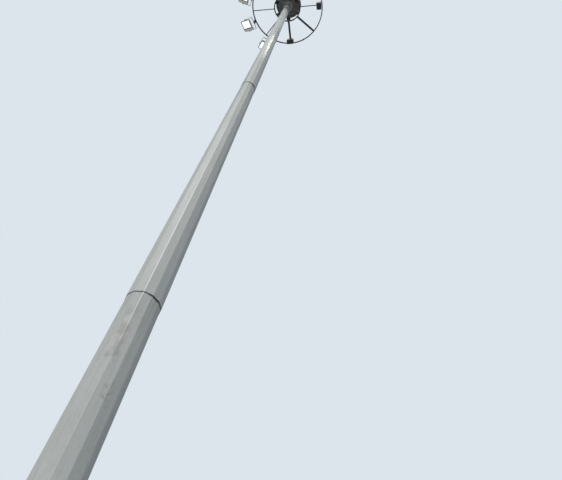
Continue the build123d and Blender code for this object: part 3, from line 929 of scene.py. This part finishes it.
# %% Piece helper
SHARP_ANGLE = math.radians(38)


def piece(name, mesh, finish, body):
    """Object from a mesh, riding on a body, with its finish."""
    bmesh.ops.recalc_face_normals(mesh, faces=mesh.faces)
    data = bpy.data.meshes.new(name)
    mesh.to_mesh(data)
    mesh.free()
    data.materials.append(finish)
    data.shade_smooth()
    data.set_sharp_from_angle(angle=SHARP_ANGLE)
    made = bpy.data.objects.new(name, data)
    bpy.context.scene.collection.objects.link(made)
    if body:
        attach(made, body)
    print(name, len(data.polygons), "faces")
    return made


# %% [markdown]
# ## Nuts, washers and bolts
#
# A hexagon nut has corners that are turned off at both faces. Four hexagons on top of each
# other give that: small, full, full, small. A stud shows its thread as ridges, cheap here
# because it is only a lathe profile with teeth. A bolt's size is written as the radius and
# thickness of its washer, and then the width across flats and the height of its nut.


# %% Nuts and washers
def nut(mesh, place, across_flats, height, turn=0.0):
    """Hexagon nut or bolt head standing on the place's x-y plane."""
    corner = across_flats / 2 / math.cos(math.pi / 6)
    chamfer = 0.12 * height
    profile = [
        (corner * 0.93, 0.0),
        (corner, chamfer),
        (corner, height - chamfer),
        (corner * 0.93, height),
    ]
    lathe(mesh, place, profile, count=6, turn=turn)


def washer(mesh, place, radius, thickness):
    """Round washer with a softened edge."""
    soft = 0.25 * thickness
    profile = [
        (radius - soft, 0.0),
        (radius, soft),
        (radius, thickness - soft),
        (radius - soft, thickness),
    ]
    lathe(mesh, place, profile, count=28)


def bolted(mesh, place, sizes, turn=0.0):
    """Washer with a nut on it. Returns the place on top of the washer."""
    washer_radius, thickness, across_flats, nut_height = sizes
    washer(mesh, place, washer_radius, thickness)
    on_washer = shifted(place, 0, 0, thickness)
    nut(mesh, on_washer, across_flats, nut_height, turn=turn)
    return on_washer


# %% Studs and screws
def stud(mesh, place, radius, length, pitch):
    """Threaded rod with a domed end."""
    profile = [(radius * 0.9, 0.0)]
    for index in range(int(length / pitch) - 1):
        foot = index * pitch
        profile.append((radius, foot + 0.5 * pitch))
        profile.append((radius * 0.88, foot + pitch))
    profile.append((radius * 0.80, length - 0.3 * pitch))
    profile.append((radius * 0.55, length))
    lathe(mesh, place, profile, count=16)


def screws(mesh, places, radius, height):
    """Pan head screws: low domes."""
    profile = [
        (radius, 0.0),
        (radius, 0.35 * height),
        (radius * 0.80, 0.80 * height),
        (radius * 0.35, height),
    ]
    for place in places:
        lathe(mesh, place, profile, count=14)


# %% [markdown]
# ## Foot of the mast
#
# Twelve foundation bolts hold the base flange, one between each pair of stiffeners. Their
# nuts are turned at random, as a spanner leaves them. Fillet welds run round the mast's foot
# and down both sides of each stiffener. A weld could be a strip with a bump map, but its
# ripples catch the light along their edge, so each is a tube that swells in waves.

# %% Anchor bolts
random.seed(20)
ANCHOR_CIRCLE = 0.350
ANCHOR_NUT = (0.030, 0.005, 0.046, 0.025)
LOCK_NUT_RISE = 0.026
LOCK_NUT = (0.046, 0.016)
ANCHOR_STUD = (0.015, 0.055, 0.0035)
anchors = bmesh.new()
for index in range(SIDES):
    seat = radial(SIDE_DEGREES * (index + 0.5), ANCHOR_CIRCLE, flange_top)
    on_washer = bolted(anchors, seat, ANCHOR_NUT, turn=random.uniform(0, 1))
    on_nut = shifted(on_washer, 0, 0, LOCK_NUT_RISE)
    nut(anchors, on_nut, *LOCK_NUT, turn=random.uniform(0, 1))
    stud(anchors, on_nut, *ANCHOR_STUD)
piece("anchor_bolts", anchors, fastener_zinc, "mast")


# %% Outline of the mast
def bend(before, corner, after, cut, steps):
    """Points of a smooth bend that starts and ends at a cut from the corner."""
    start = corner + (before - corner).normalized() * cut
    end = corner + (after - corner).normalized() * cut
    points = []
    for step in range(steps + 1):
        share = step / steps
        points.append(start.lerp(corner, share).lerp(corner.lerp(end, share), share))
    return points


def bent_outline(distance, height, bend_radius=0.024, steps=4):
    """Twelve-sided outline with rounded bends, whose flats lie at a distance."""
    corner_distance = distance / SIDE_SHARE
    turns = [HALF_SIDE * (1 + 2 * index) for index in range(SIDES)]
    corners = [
        Vector((corner_distance * math.cos(turn), corner_distance * math.sin(turn), height))
        for turn in turns
    ]
    cut = bend_radius * math.tan(HALF_SIDE)
    outline = []
    for index, corner in enumerate(corners):
        after = corners[(index + 1) % SIDES]
        outline += bend(corners[index - 1], corner, after, cut, steps)
    return outline


# %% Weld round the foot
FOOT_BEAD = 0.006
FOOT_STEP = 0.002
FOOT_OFFSET = 0.002
foot_weld = bmesh.new()
foot_outline = bent_outline(flat_distance(flange_top) + FOOT_OFFSET, flange_top + FOOT_OFFSET)
foot_path = fine_path(foot_outline, FOOT_STEP, closed=True)
tube(foot_weld, foot_path, FOOT_BEAD, closed=True, ripple=0.10)
piece("foot_weld", foot_weld, weld_zinc, "mast")

# %% Welds of the stiffeners
GUSSET_BEAD = 0.0045
GUSSET_STEP = 0.0035
GUSSET_HALF = 0.0075
BEAD_OFFSET = 0.001
gusset_end = high("base_gussets").x
gusset_top = high("base_gussets").z
bead_low = flange_top + BEAD_OFFSET
wall_low = flat_distance(flange_top) + BEAD_OFFSET
wall_high = flat_distance(gusset_top) + BEAD_OFFSET
# The bead runs in along the flange, turns up at the wall and climbs it: (distance, height).
bead_corners = (
    (gusset_end - 0.004, bead_low),
    (wall_low + 0.006, bead_low),
    (wall_low, flange_top + 0.008),
    (wall_high, gusset_top - 0.003),
)
gusset_welds = bmesh.new()
for index in range(SIDES):
    foot = radial(SIDE_DEGREES * index, 0.0, 0.0)
    for across in (-GUSSET_HALF, GUSSET_HALF):
        corners = [foot @ Vector((x, across, z)) for x, z in bead_corners]
        bead_path = fine_path(corners, GUSSET_STEP)
        tube(gusset_welds, bead_path, GUSSET_BEAD, count=6, ripple=0.12)
piece("gusset_welds", gusset_welds, weld_zinc, "mast")

# %% [markdown]
# ## Long seams of the sections
#
# Each section is a plate bent round and closed by one long weld on a flat. The seams are
# turned away from each other, so none lines up with the next. A painted line would vanish
# where light grazes the flat, so each seam is a real bead with long, shallow ripples.

# %% Seam welds
SEAM_AZIMUTHS = (60, 120, 30)
SEAM_BEAD = 0.0035
SEAM_STEP = 0.012
SEAM_RIPPLE = 0.037
SEAM_GAP = 0.01
section_ends = (flange_top, joint_1, joint_2, mast_top)
seams = bmesh.new()
for azimuth, section_low, section_high in zip(SEAM_AZIMUTHS, section_ends, section_ends[1:]):
    heights = (section_low + SEAM_GAP, section_high - SEAM_GAP)
    ends = [radial(azimuth, flat_distance(z), z).translation for z in heights]
    seam_path = fine_path(ends, SEAM_STEP)
    tube(seams, seam_path, SEAM_BEAD, count=6, ripple=0.15, ripple_length=SEAM_RIPPLE)
piece("seam_welds", seams, weld_zinc, "mast")

# %% [markdown]
# ## Door fittings
#
# The door is a cover on the frame, held by screws, with two hinge barrels on one edge and a
# key lock in its middle. Everything sits on the door's own face, found from its box. A rubber
# seal shows as a dark line round the cover. It is a tube on a rounded outline that is wrapped
# round the mast's bends: each point's depth follows from how far it lies from the middle.

# %% Door places
door_face = -low("door").y
door_low = low("door").z
door_high = high("door").z
door_half = high("door").x
door_middle = (door_low + door_high) / 2


def door_depth(z):
    """Distance from the axis to the door's flat front at a height."""
    return door_face - TAPER * (z - door_low)


def door_point(x, z):
    """Place on the door's front, facing away from the mast."""
    return Matrix.Translation((x, -door_depth(z), z)) @ Matrix.Rotation(math.pi / 2, 4, "X")


print("door from", round(door_low, 3), "to", round(door_high, 3))

# %% Door screws, lock and hinges
DOOR_SCREW = (0.008, 0.005)
SCREW_ACROSS = 0.045
SCREW_HEIGHTS = (door_low + 0.22, door_low + 0.50, door_high - 0.22)
LOCK_WASHER = (0.019, 0.006)
KEY_PROFILE = ((0.012, 0.0), (0.012, 0.004), (0.008, 0.005), (0.008, 0.001))
HINGE_HEIGHTS = (door_low + 0.16, door_high - 0.16)
HINGE_OUT = 0.010
HINGE_BACK = 0.022
HINGE_HALF = 0.045
KNUCKLE_PITCH = 0.031
KNUCKLE_PROFILE = ((0.0075, 0.0), (0.0085, 0.001), (0.0085, 0.028), (0.0075, 0.029))
fittings = bmesh.new()
for z in SCREW_HEIGHTS:
    screw_places = [door_point(SCREW_ACROSS, z), door_point(-SCREW_ACROSS, z)]
    screws(fittings, screw_places, *DOOR_SCREW)
lock = door_point(0.0, door_middle)
washer(fittings, lock, *LOCK_WASHER)
lathe(fittings, shifted(lock, 0, 0, LOCK_WASHER[1]), KEY_PROFILE, count=3)
for z in HINGE_HEIGHTS:
    hinge_place = (-(door_half + HINGE_OUT), HINGE_BACK - door_depth(z), z - HINGE_HALF)
    for index in range(3):
        knuckle = shifted(Matrix.Translation(hinge_place), 0, 0, KNUCKLE_PITCH * index)
        lathe(fittings, knuckle, KNUCKLE_PROFILE, count=16)
piece("door_fittings", fittings, fastener_zinc, "mast")


# %% Rounded rectangle
def rounded_outline(length, width, corner, steps=5):
    """Rounded rectangle as (x, y) points."""
    outline = []
    centres = (
        (length / 2 - corner, width / 2 - corner, 0),
        (-length / 2 + corner, width / 2 - corner, 90),
        (-length / 2 + corner, -width / 2 + corner, 180),
        (length / 2 - corner, -width / 2 + corner, 270),
    )
    for x, y, first in centres:
        for step in range(steps + 1):
            angle = math.radians(first + 90 * step / steps)
            outline.append((x + corner * math.cos(angle), y + corner * math.sin(angle)))
    return outline


# %% Door seal
SEAL_RADIUS = 0.0022
SEAL_PROUD = 0.0108
SEAL_STEP = 0.004
DOOR_CORNER = 0.055


def wrapped(x, z, proud):
    """Point in front of the mast's -Y side, at a distance outside its skin."""
    flat = flat_distance(z) + proud
    past_bend = max(0.0, abs(x) - flat * math.tan(HALF_SIDE))
    return Vector((x, past_bend * math.tan(2 * HALF_SIDE) - flat, z))


seal_outline = rounded_outline(2 * door_half, door_high - door_low, DOOR_CORNER, steps=10)
seal_corners = [Vector((x, y + door_middle, 0)) for x, y in seal_outline]
seal_points = fine_path(seal_corners, SEAL_STEP, closed=True)
seal_path = [wrapped(point.x, point.y, SEAL_PROUD) for point in seal_points]
door_seal = bmesh.new()
tube(door_seal, seal_path, SEAL_RADIUS, closed=True)
piece("door_seal", door_seal, gasket_rubber, "mast")

# %% [markdown]
# ## Head of the mast
#
# Bolts fix the arms to the head flange, and washers with split pins keep the pulley pins in
# their cheeks. The canopy has a rolled lower edge and round head screws in its skirt. A bevel
# could not roll the edge, because the construction part keeps its shape, so a thin tube is
# carried round the skirt.

# %% Head places and sizes
ARM_AZIMUTHS = [56.8 + 120 * index for index in range(3)]
PULLEY_PLACES = (0.100, 0.245)
CHEEK_OUTSIDE = 0.022
PIN_WASHER = (0.0165, 0.003)
SPLIT_PIN_PROFILE = ((0.0012, 0.0), (0.0016, 0.001), (0.0016, 0.031), (0.0012, 0.032))
SPLIT_PIN_HALF = 0.016
SPLIT_PIN_OUT = 0.0045
ARM_BOLT = (0.013, 0.003, 0.019, 0.010)
ARM_BOLT_ACROSS = 0.037
ARM_BOLT_PLACES = (0.045, 0.120)
pulley_height = (low("head_pulleys").z + high("head_pulleys").z) / 2
head_flange_top = high("head_flange").z
print("pulleys at", round(pulley_height, 3))

# %% Head fasteners
head_bolts = bmesh.new()
for azimuth in ARM_AZIMUTHS:
    for place in PULLEY_PLACES:
        for hub in flanks(radial(azimuth, place, pulley_height), CHEEK_OUTSIDE):
            washer(head_bolts, hub, *PIN_WASHER)
            split_pin = facing(shifted(hub, -SPLIT_PIN_HALF, 0, SPLIT_PIN_OUT), (1, 0, 0))
            lathe(head_bolts, split_pin, SPLIT_PIN_PROFILE, count=8)
    for side in (-1, 1):
        for place in ARM_BOLT_PLACES:
            foot = shifted(radial(azimuth, place, head_flange_top), 0, side * ARM_BOLT_ACROSS, 0)
            bolted(head_bolts, foot, ARM_BOLT, turn=place)
piece("head_bolts", head_bolts, fastener_zinc, "mast")

# %% Canopy rim and screws
RIM_RADIUS = 0.005
RIM_INSET = 0.001
SKIRT_SCREW = (0.008, 0.005)
SKIRT_RISES = (0.030, 0.070)
SKIRT_TURN = 2.2
canopy_trim = bmesh.new()
rim_place = Matrix.Identity(4)
rim_height = canopy_low + RIM_RADIUS
rim_path = flat_ring(rim_place, canopy_radius - RIM_INSET, rim_height, count=96)
tube(canopy_trim, rim_path, RIM_RADIUS, closed=True)
for azimuth in ARM_AZIMUTHS:
    for turn in (azimuth - SKIRT_TURN, azimuth + SKIRT_TURN):
        skirt_places = [radial(turn, canopy_radius, canopy_low + rise) for rise in SKIRT_RISES]
        screws(canopy_trim, [facing(place, (1, 0, 0)) for place in skirt_places], *SKIRT_SCREW)
piece("canopy_trim", canopy_trim, canopy_paint, "mast")

# %% [markdown]
# ## Hoist ropes
#
# A wire rope has six strands wound round each other. Six twisted tubes would have six times
# the faces, so one section does: a circle with six shallow lobes that turns as it is carried
# along the rope's route, up inside the mast, over the inner and outer pulley of an arm, and
# down towards the carriage. The short falls down to the carriage have to stretch as it
# travels, so they are a piece of their own, which rides on neither body.

# %% Rope sizes and route
ROPE_RADIUS = 0.004
ROPE_STEP = 0.004
ROPE_SECTION = {"count": 18, "lobes": 6, "lobe_depth": 0.22, "twist": 2 * math.pi / 0.055}
ARC_STEPS = 14
rope_top = high("hoist_ropes").z - ROPE_RADIUS
rope_tail = low("hoist_ropes").z
fall_top = high("rope_falls").z
fall_low = low("rope_falls").z
groove = rope_top - pulley_height
fall_place = PULLEY_PLACES[1] + groove


def rope_route():
    """Route over both pulleys at azimuth 0, from the fall's top to the tail."""
    route = [Vector((fall_place, 0, fall_top))]
    for quarter, pulley_place in enumerate(reversed(PULLEY_PLACES)):
        for index in range(ARC_STEPS + 1):
            angle = math.pi / 2 * (quarter + index / ARC_STEPS)
            x = pulley_place + groove * math.cos(angle)
            route.append(Vector((x, 0, pulley_height + groove * math.sin(angle))))
    route.append(Vector((PULLEY_PLACES[0] - groove, 0, rope_tail)))
    return route


print("rope top", round(rope_top, 3), "falls down to", round(fall_low, 3))

# %% Rope over the pulleys
over_pulleys = bmesh.new()
for azimuth in ARM_AZIMUTHS:
    turned = radial(azimuth, 0.0, 0.0)
    route = [turned @ point for point in fine_path(rope_route(), ROPE_STEP)]
    tube(over_pulleys, route, ROPE_RADIUS, **ROPE_SECTION)
stranded = piece("stranded_ropes", over_pulleys, rope_wire, "mast")
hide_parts("hoist_ropes")

# %% Rope falls
falls = bmesh.new()
for azimuth in ARM_AZIMUTHS:
    ends = [radial(azimuth, fall_place, z).translation for z in (fall_top, fall_low)]
    tube(falls, fine_path(ends, ROPE_STEP), ROPE_RADIUS, **ROPE_SECTION)
stretched_falls = piece("stretching_falls", falls, rope_wire, None)
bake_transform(stretched_falls)
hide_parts("rope_falls")

# %% [markdown]
# ## Carriage fasteners
#
# The rings come in halves that are bolted together at joint plates. Each floodlight's plate
# is clamped to the outer ring by two U-bolts, which pass over and under the tube. A U-bolt is
# a rod bent at two corners, so it is a tube along a path with two rounded corners.

# %% Joint plate bolts
SPLIT_AZIMUTHS = (34.3, 214.3)
PLATE_HALF = 0.00815
PLATE_BOLT = (0.011, 0.002, 0.017, 0.008)
PLATE_STUD = (0.005, 0.014, 0.0015)
BOLT_RISE = 0.034
# Radians for each metre of rise, so that the upper and lower bolt heads stand differently.
HEAD_TURN = 9.0
carriage_bolts = bmesh.new()
for azimuth in SPLIT_AZIMUTHS:
    for distance in (inner_radius, outer_radius):
        for rise in (-BOLT_RISE, BOLT_RISE):
            centre = radial(azimuth, distance, carriage_height + rise)
            for head in flanks(centre, PLATE_HALF):
                on_washer = bolted(carriage_bolts, head, PLATE_BOLT, turn=HEAD_TURN * rise)
                stud(carriage_bolts, on_washer, *PLATE_STUD)
print("joint plates at azimuths", SPLIT_AZIMUTHS)

# %% U-bolts
LAMP_AZIMUTHS = [94.6 + 36 * index for index in range(5)]
SADDLE_THICKNESS = 0.0103
U_ROD = 0.005
U_HALF = 0.030
U_BEND = 0.010
U_PAST = 0.018
U_NUT = (0.010, 0.002, 0.017, 0.008)
saddle_face = outer_radius + RING_HALF_WIDTH + SADDLE_THICKNESS
rod_height = RING_HALF_HEIGHT + U_ROD
rod_inside = outer_radius - RING_HALF_WIDTH - U_ROD
rod_end = saddle_face + U_PAST
rod_corners = (
    (rod_end, rod_height),
    (rod_inside, rod_height),
    (rod_inside, -rod_height),
    (rod_end, -rod_height),
)
for azimuth in LAMP_AZIMUTHS:
    ring_place = radial(azimuth, 0.0, carriage_height)
    for across in (-U_HALF, U_HALF):
        corners = [Vector((x, across, z)) for x, z in rod_corners]
        rod = [corners[0]]
        rod += bend(*corners[0:3], U_BEND, steps=5)
        rod += bend(*corners[1:4], U_BEND, steps=5)
        rod.append(corners[3])
        tube(carriage_bolts, [ring_place @ point for point in rod], U_ROD, count=10)
        for z in (-rod_height, rod_height):
            outward = facing(shifted(ring_place, saddle_face, across, z), (1, 0, 0))
            bolted(carriage_bolts, outward, U_NUT)
piece("carriage_bolts", carriage_bolts, fastener_zinc, "carriage")

# %% [markdown]
# ## Floodlight details
#
# Seen from below, a floodlight is its lit glass in a thin dark frame. The frame is a flat
# rounded rectangle with screws: one cross section, carried round as rounded rectangles of
# different sizes and depths. Four screws hold the cover beside the glass, and each side of
# the yoke has a pivot bolt with a big washer.

# %% Floodlight places and sizes
LAMP_REACH = 0.238
LAMP_DROP = 0.200
LAMP_TILT = math.radians(22)
LAMP_FRONT = -0.030
BEZEL_DEPTH = 0.0035
# Length, width and corner radius of the frame's outlines, and how far each lies back.
BEZEL_SECTION = (
    (0.312, 0.248, 0.022, 0.0),
    (0.310, 0.246, 0.021, -BEZEL_DEPTH),
    (0.277, 0.213, 0.014, -BEZEL_DEPTH),
    (0.272, 0.208, 0.012, -0.0015),
    (0.272, 0.208, 0.012, BEZEL_DEPTH),
    (0.277, 0.213, 0.014, BEZEL_DEPTH),
)
BEZEL_SCREWS = [(x, y) for x in (-0.146, 0.0, 0.146) for y in (-0.114, 0.114)]
BEZEL_SCREWS += [(-0.146, 0.0), (0.146, 0.0)]
BEZEL_SCREW = (0.0045, 0.003)
COVER_SCREWS = [(x, y) for x in (-0.140, 0.140) for y in (-0.021, 0.021)]
COVER_SCREW = (0.004, 0.0025)
GLASS_MIDDLE = 0.0375
COVER_MIDDLE = -0.128
COVER_DEPTH = 0.003
YOKE_OUTSIDE = 0.1797
PIVOT_BOLT = (0.019, 0.003, 0.024, 0.011)
PIVOT_STUD = (0.007, 0.017, 0.002)
PIVOT_TURN = 0.2
lamp_place = outer_radius + RING_HALF_WIDTH + LAMP_REACH
print("floodlights at", round(lamp_place, 3), "from the axis")

# %% Floodlight frames and bolts
turned_down = Matrix.Rotation(math.pi, 4, "X")
for index, azimuth in enumerate(LAMP_AZIMUTHS):
    pivot = radial(azimuth, lamp_place, carriage_height - LAMP_DROP)
    lamp = pivot @ Matrix.Rotation(-LAMP_TILT, 4, "Y")
    window = shifted(lamp, 0, GLASS_MIDDLE, 0)
    rings = []
    for length, width, corner, back in BEZEL_SECTION:
        outline = rounded_outline(length, width, corner)
        rings.append([window @ Vector((x, y, LAMP_FRONT + back)) for x, y in outline])
    bezel = bmesh.new()
    skin(bezel, rings, closed=True)
    front_face = shifted(window, 0, 0, LAMP_FRONT - BEZEL_DEPTH) @ turned_down
    screws(bezel, [shifted(front_face, x, y, 0) for x, y in BEZEL_SCREWS], *BEZEL_SCREW)
    cover = shifted(lamp, 0, COVER_MIDDLE, LAMP_FRONT - COVER_DEPTH) @ turned_down
    screws(bezel, [shifted(cover, x, y, 0) for x, y in COVER_SCREWS], *COVER_SCREW)
    piece(f"lamp_{index + 1}_bezel", bezel, box_paint, "carriage")

    bolts = bmesh.new()
    for boss in flanks(pivot, YOKE_OUTSIDE):
        on_washer = bolted(bolts, boss, PIVOT_BOLT, turn=PIVOT_TURN * index)
        stud(bolts, on_washer, *PIVOT_STUD)
    piece(f"lamp_{index + 1}_bolts", bolts, fastener_zinc, "carriage")

# %% [markdown]
# ## Ferrules, roller bolts and welds on the carriage
#
# Each rope ends in a pressed ferrule at its lug, and each roller turns on an axle with a nut
# at both ends. The spokes are welded to the rings all round their ends, and those beads are
# what the eye takes for a joint. A bead here is two arcs, one on either flank of the spoke,
# and a heavy spoke, which is taller than the ring's tube, has its end closed by a cap.

# %% Spoke places and sizes
SPOKE_AZIMUTHS = [11.8 + 45 * index for index in range(8)]
HEAVY_SPOKES = (0, 1, 4, 5)
HEAVY_TUBE = 0.030
LIGHT_TUBE = 0.013
SPOKE_BEAD = 0.0035
ARC_HALF_STEPS = 12
SPOKE_CAP = ((0.0262, 0.0), (0.0262, 0.002), (0.0150, 0.0035), (0.0020, 0.0040))
print("spokes", len(SPOKE_AZIMUTHS), "heavy", len(HEAVY_SPOKES))


# %% Spoke welds
def weld_arc(hub, inwards, side, bead_radius, half_degrees):
    """Path of the bead on one flank of a spoke's end."""
    arc = []
    for step in range(2 * ARC_HALF_STEPS + 1):
        angle = math.radians(half_degrees * (step / ARC_HALF_STEPS - 1))
        across = side * bead_radius * math.cos(angle)
        rise = bead_radius * math.sin(angle)
        arc.append(hub @ Vector((inwards * BEAD_OFFSET, across, rise)))
    return arc


spoke_welds = bmesh.new()
for index, azimuth in enumerate(SPOKE_AZIMUTHS):
    tube_radius = HEAVY_TUBE if index in HEAVY_SPOKES else LIGHT_TUBE
    bead_radius = tube_radius + BEAD_OFFSET
    half_degrees = math.degrees(math.asin(min(1.0, RING_HALF_HEIGHT / tube_radius)))
    for distance, inwards in ((inner_radius, 1), (outer_radius, -1)):
        hub = radial(azimuth, distance + inwards * RING_HALF_WIDTH, carriage_height)
        for side in (-1, 1):
            arc = weld_arc(hub, inwards, side, bead_radius, half_degrees)
            tube(spoke_welds, arc, SPOKE_BEAD, count=6, ripple=0.15)
        if index in HEAVY_SPOKES:
            end = facing(shifted(hub, inwards * BEAD_OFFSET, 0, 0), (inwards, 0, 0))
            lathe(spoke_welds, end, SPOKE_CAP, count=28)
piece("spoke_welds", spoke_welds, carriage_paint, "carriage")

# %% Rope ends and roller axles
FERRULE_DROP = 0.028
FERRULE_PROFILE = (
    (0.0098, -0.030),
    (0.0112, -0.026),
    (0.0112, 0.016),
    (0.0100, 0.022),
    (0.0070, 0.027),
    (0.0052, 0.028),
)
ROLLER_AZIMUTHS = [116.8 + 120 * index for index in range(3)]
ROLLER_PLACE = 0.318
AXLE_HALF = 0.039
AXLE_NUT = (0.014, 0.003, 0.019, 0.009)
ends = bmesh.new()
for azimuth in ARM_AZIMUTHS:
    socket = radial(azimuth, fall_place, fall_low - FERRULE_DROP)
    lathe(ends, socket, FERRULE_PROFILE, count=20)
for azimuth in ROLLER_AZIMUTHS:
    for hub in flanks(radial(azimuth, ROLLER_PLACE, carriage_height), AXLE_HALF):
        bolted(ends, hub, AXLE_NUT)
piece("rope_ends_and_axles", ends, fastener_zinc, "carriage")

# %% [markdown]
# ## Control gear boxes
#
# The boxes under two spokes have a lid with corner screws, and three cable glands on the
# side that faces the mast. A gland is a nut with a domed cap, which is a short lathe profile.
# Bolts through the ears of each box clamp it to its spoke.

# %% Gear box places and sizes
GEAR_BOXES = {"gear_box_1": (1, HEAVY_TUBE), "gear_box_2": (7, LIGHT_TUBE)}
BOX_LENGTH = 0.130
BOX_WIDTH = 0.196
BOX_CLEARANCE = 0.004
LID_SCREWS = [(x, y) for x in (-0.052, 0.052) for y in (-0.085, 0.085)]
LID_SCREW = (0.006, 0.004)
LID_SINK = 0.001
GLANDS_ACROSS = (-0.055, 0.0, 0.055)
GLAND_RISE = 0.075
GLAND_NUT = (0.024, 0.006)
GLAND_PROFILE = ((0.0095, 0.006), (0.0095, 0.014), (0.0080, 0.018), (0.0045, 0.020))
EAR_RISE = 0.005
EAR_FACE = 0.0063
EAR_BOLT = (0.0062, 0.0015, 0.010, 0.005)
box_reach = outer_radius - RING_HALF_WIDTH - BOX_CLEARANCE
box_middle = math.sqrt(box_reach**2 - (BOX_WIDTH / 2) ** 2) - BOX_LENGTH / 2
print("gear boxes at", round(box_middle, 3), "from the axis")

# %% Gear box fittings
box_parts = bmesh.new()
for box_name, (spoke_index, tube_radius) in GEAR_BOXES.items():
    azimuth = SPOKE_AZIMUTHS[spoke_index]
    lid_low = low(box_name).z
    under = radial(azimuth, box_middle, lid_low) @ turned_down
    screws(box_parts, [shifted(under, x, y, -LID_SINK) for x, y in LID_SCREWS], *LID_SCREW)
    inner_side = radial(azimuth, box_middle - BOX_LENGTH / 2, lid_low + GLAND_RISE)
    for y in GLANDS_ACROSS:
        gland = facing(shifted(inner_side, 0, y, 0), (-1, 0, 0))
        nut(box_parts, gland, *GLAND_NUT)
        lathe(box_parts, gland, GLAND_PROFILE, count=16)
    ear = radial(azimuth, box_middle, carriage_height + tube_radius + EAR_RISE)
    for bolt in flanks(ear, tube_radius + EAR_FACE):
        bolted(box_parts, bolt, EAR_BOLT)
piece("gear_box_fittings", box_parts, fastener_zinc, "carriage")

# %% [markdown]
# ## Floor, light and background
#
# The floor and the background are plain and pale. A broad, soft key light comes from the
# left of the photograph's view. A second, much weaker light stands high in front of the
# mast and gives the soft glare on the upper section's coat. A lamp panel would light the
# foot more than the head of so tall a thing, so both are distant sun lamps with a wide
# angle. The background is pale only for what the camera, a mirror or glass sees: its light
# on the object stays lower, so that colours render about as they are written.

# %% Floor
FLOOR_RADIUS = 380.0
FLOOR_DROP = 0.001
floor_mesh = bmesh.new()
bmesh.ops.create_circle(floor_mesh, cap_ends=True, segments=96, radius=FLOOR_RADIUS)
floor_data = bpy.data.meshes.new("floor")
floor_mesh.to_mesh(floor_data)
floor_mesh.free()
floor = bpy.data.objects.new("floor", floor_data)
bpy.context.scene.collection.objects.link(floor)
floor.location.z = -FLOOR_DROP
floor_finish = Finish("floor_pale", (0.60, 0.605, 0.60), roughness=0.9)
floor_data.materials.append(floor_finish.done())

# %% World
PALE_SKY = (0.72, 0.78, 0.84, 1.0)
AMBIENT = (0.245, 0.297, 0.350, 1.0)
world = bpy.data.worlds.new("studio")
bpy.context.scene.world = world
world.use_nodes = True
sky = world.node_tree
background = sky.nodes["Background"]
background.inputs["Strength"].default_value = 1.0
rays = sky.nodes.new("ShaderNodeLightPath")
seen = math_node(sky, "MAXIMUM", rays.outputs["Is Camera Ray"], rays.outputs["Is Glossy Ray"])
seen = math_node(sky, "MAXIMUM", seen, rays.outputs["Is Transmission Ray"])
shown = sky.nodes.new("ShaderNodeMix")
shown.data_type = "RGBA"
sky.links.new(seen, shown.inputs["Factor"])
shown.inputs["A"].default_value = AMBIENT
shown.inputs["B"].default_value = PALE_SKY
sky.links.new(shown.outputs["Result"], background.inputs["Color"])
print("background", PALE_SKY[:3], "ambient", AMBIENT[:3])


# %% Lights
def studio_light(name, azimuth, elevation, strength, spread, colour):
    """Distant soft light that comes from an azimuth and elevation in degrees."""
    data = bpy.data.lights.new(name, "SUN")
    data.energy = strength
    data.angle = math.radians(spread)
    data.color = colour
    light = bpy.data.objects.new(name, data)
    bpy.context.scene.collection.objects.link(light)
    turn = math.radians(azimuth)
    rise = math.radians(elevation)
    level = math.cos(rise)
    towards = Vector((math.cos(turn) * level, math.sin(turn) * level, math.sin(rise)))
    light.rotation_euler = towards.to_track_quat("Z", "Y").to_euler()
    print(name, "from azimuth", azimuth, "elevation", elevation)


WARM_WHITE = (1.0, 0.985, 0.96)
YELLOW_WHITE = (1.0, 1.0, 0.80)
studio_light("key_light", azimuth=223, elevation=50, strength=2.3, spread=8, colour=WARM_WHITE)
studio_light("high_light", azimuth=270, elevation=71, strength=0.3, spread=5, colour=YELLOW_WHITE)
bpy.context.scene.view_settings.view_transform = "Standard"
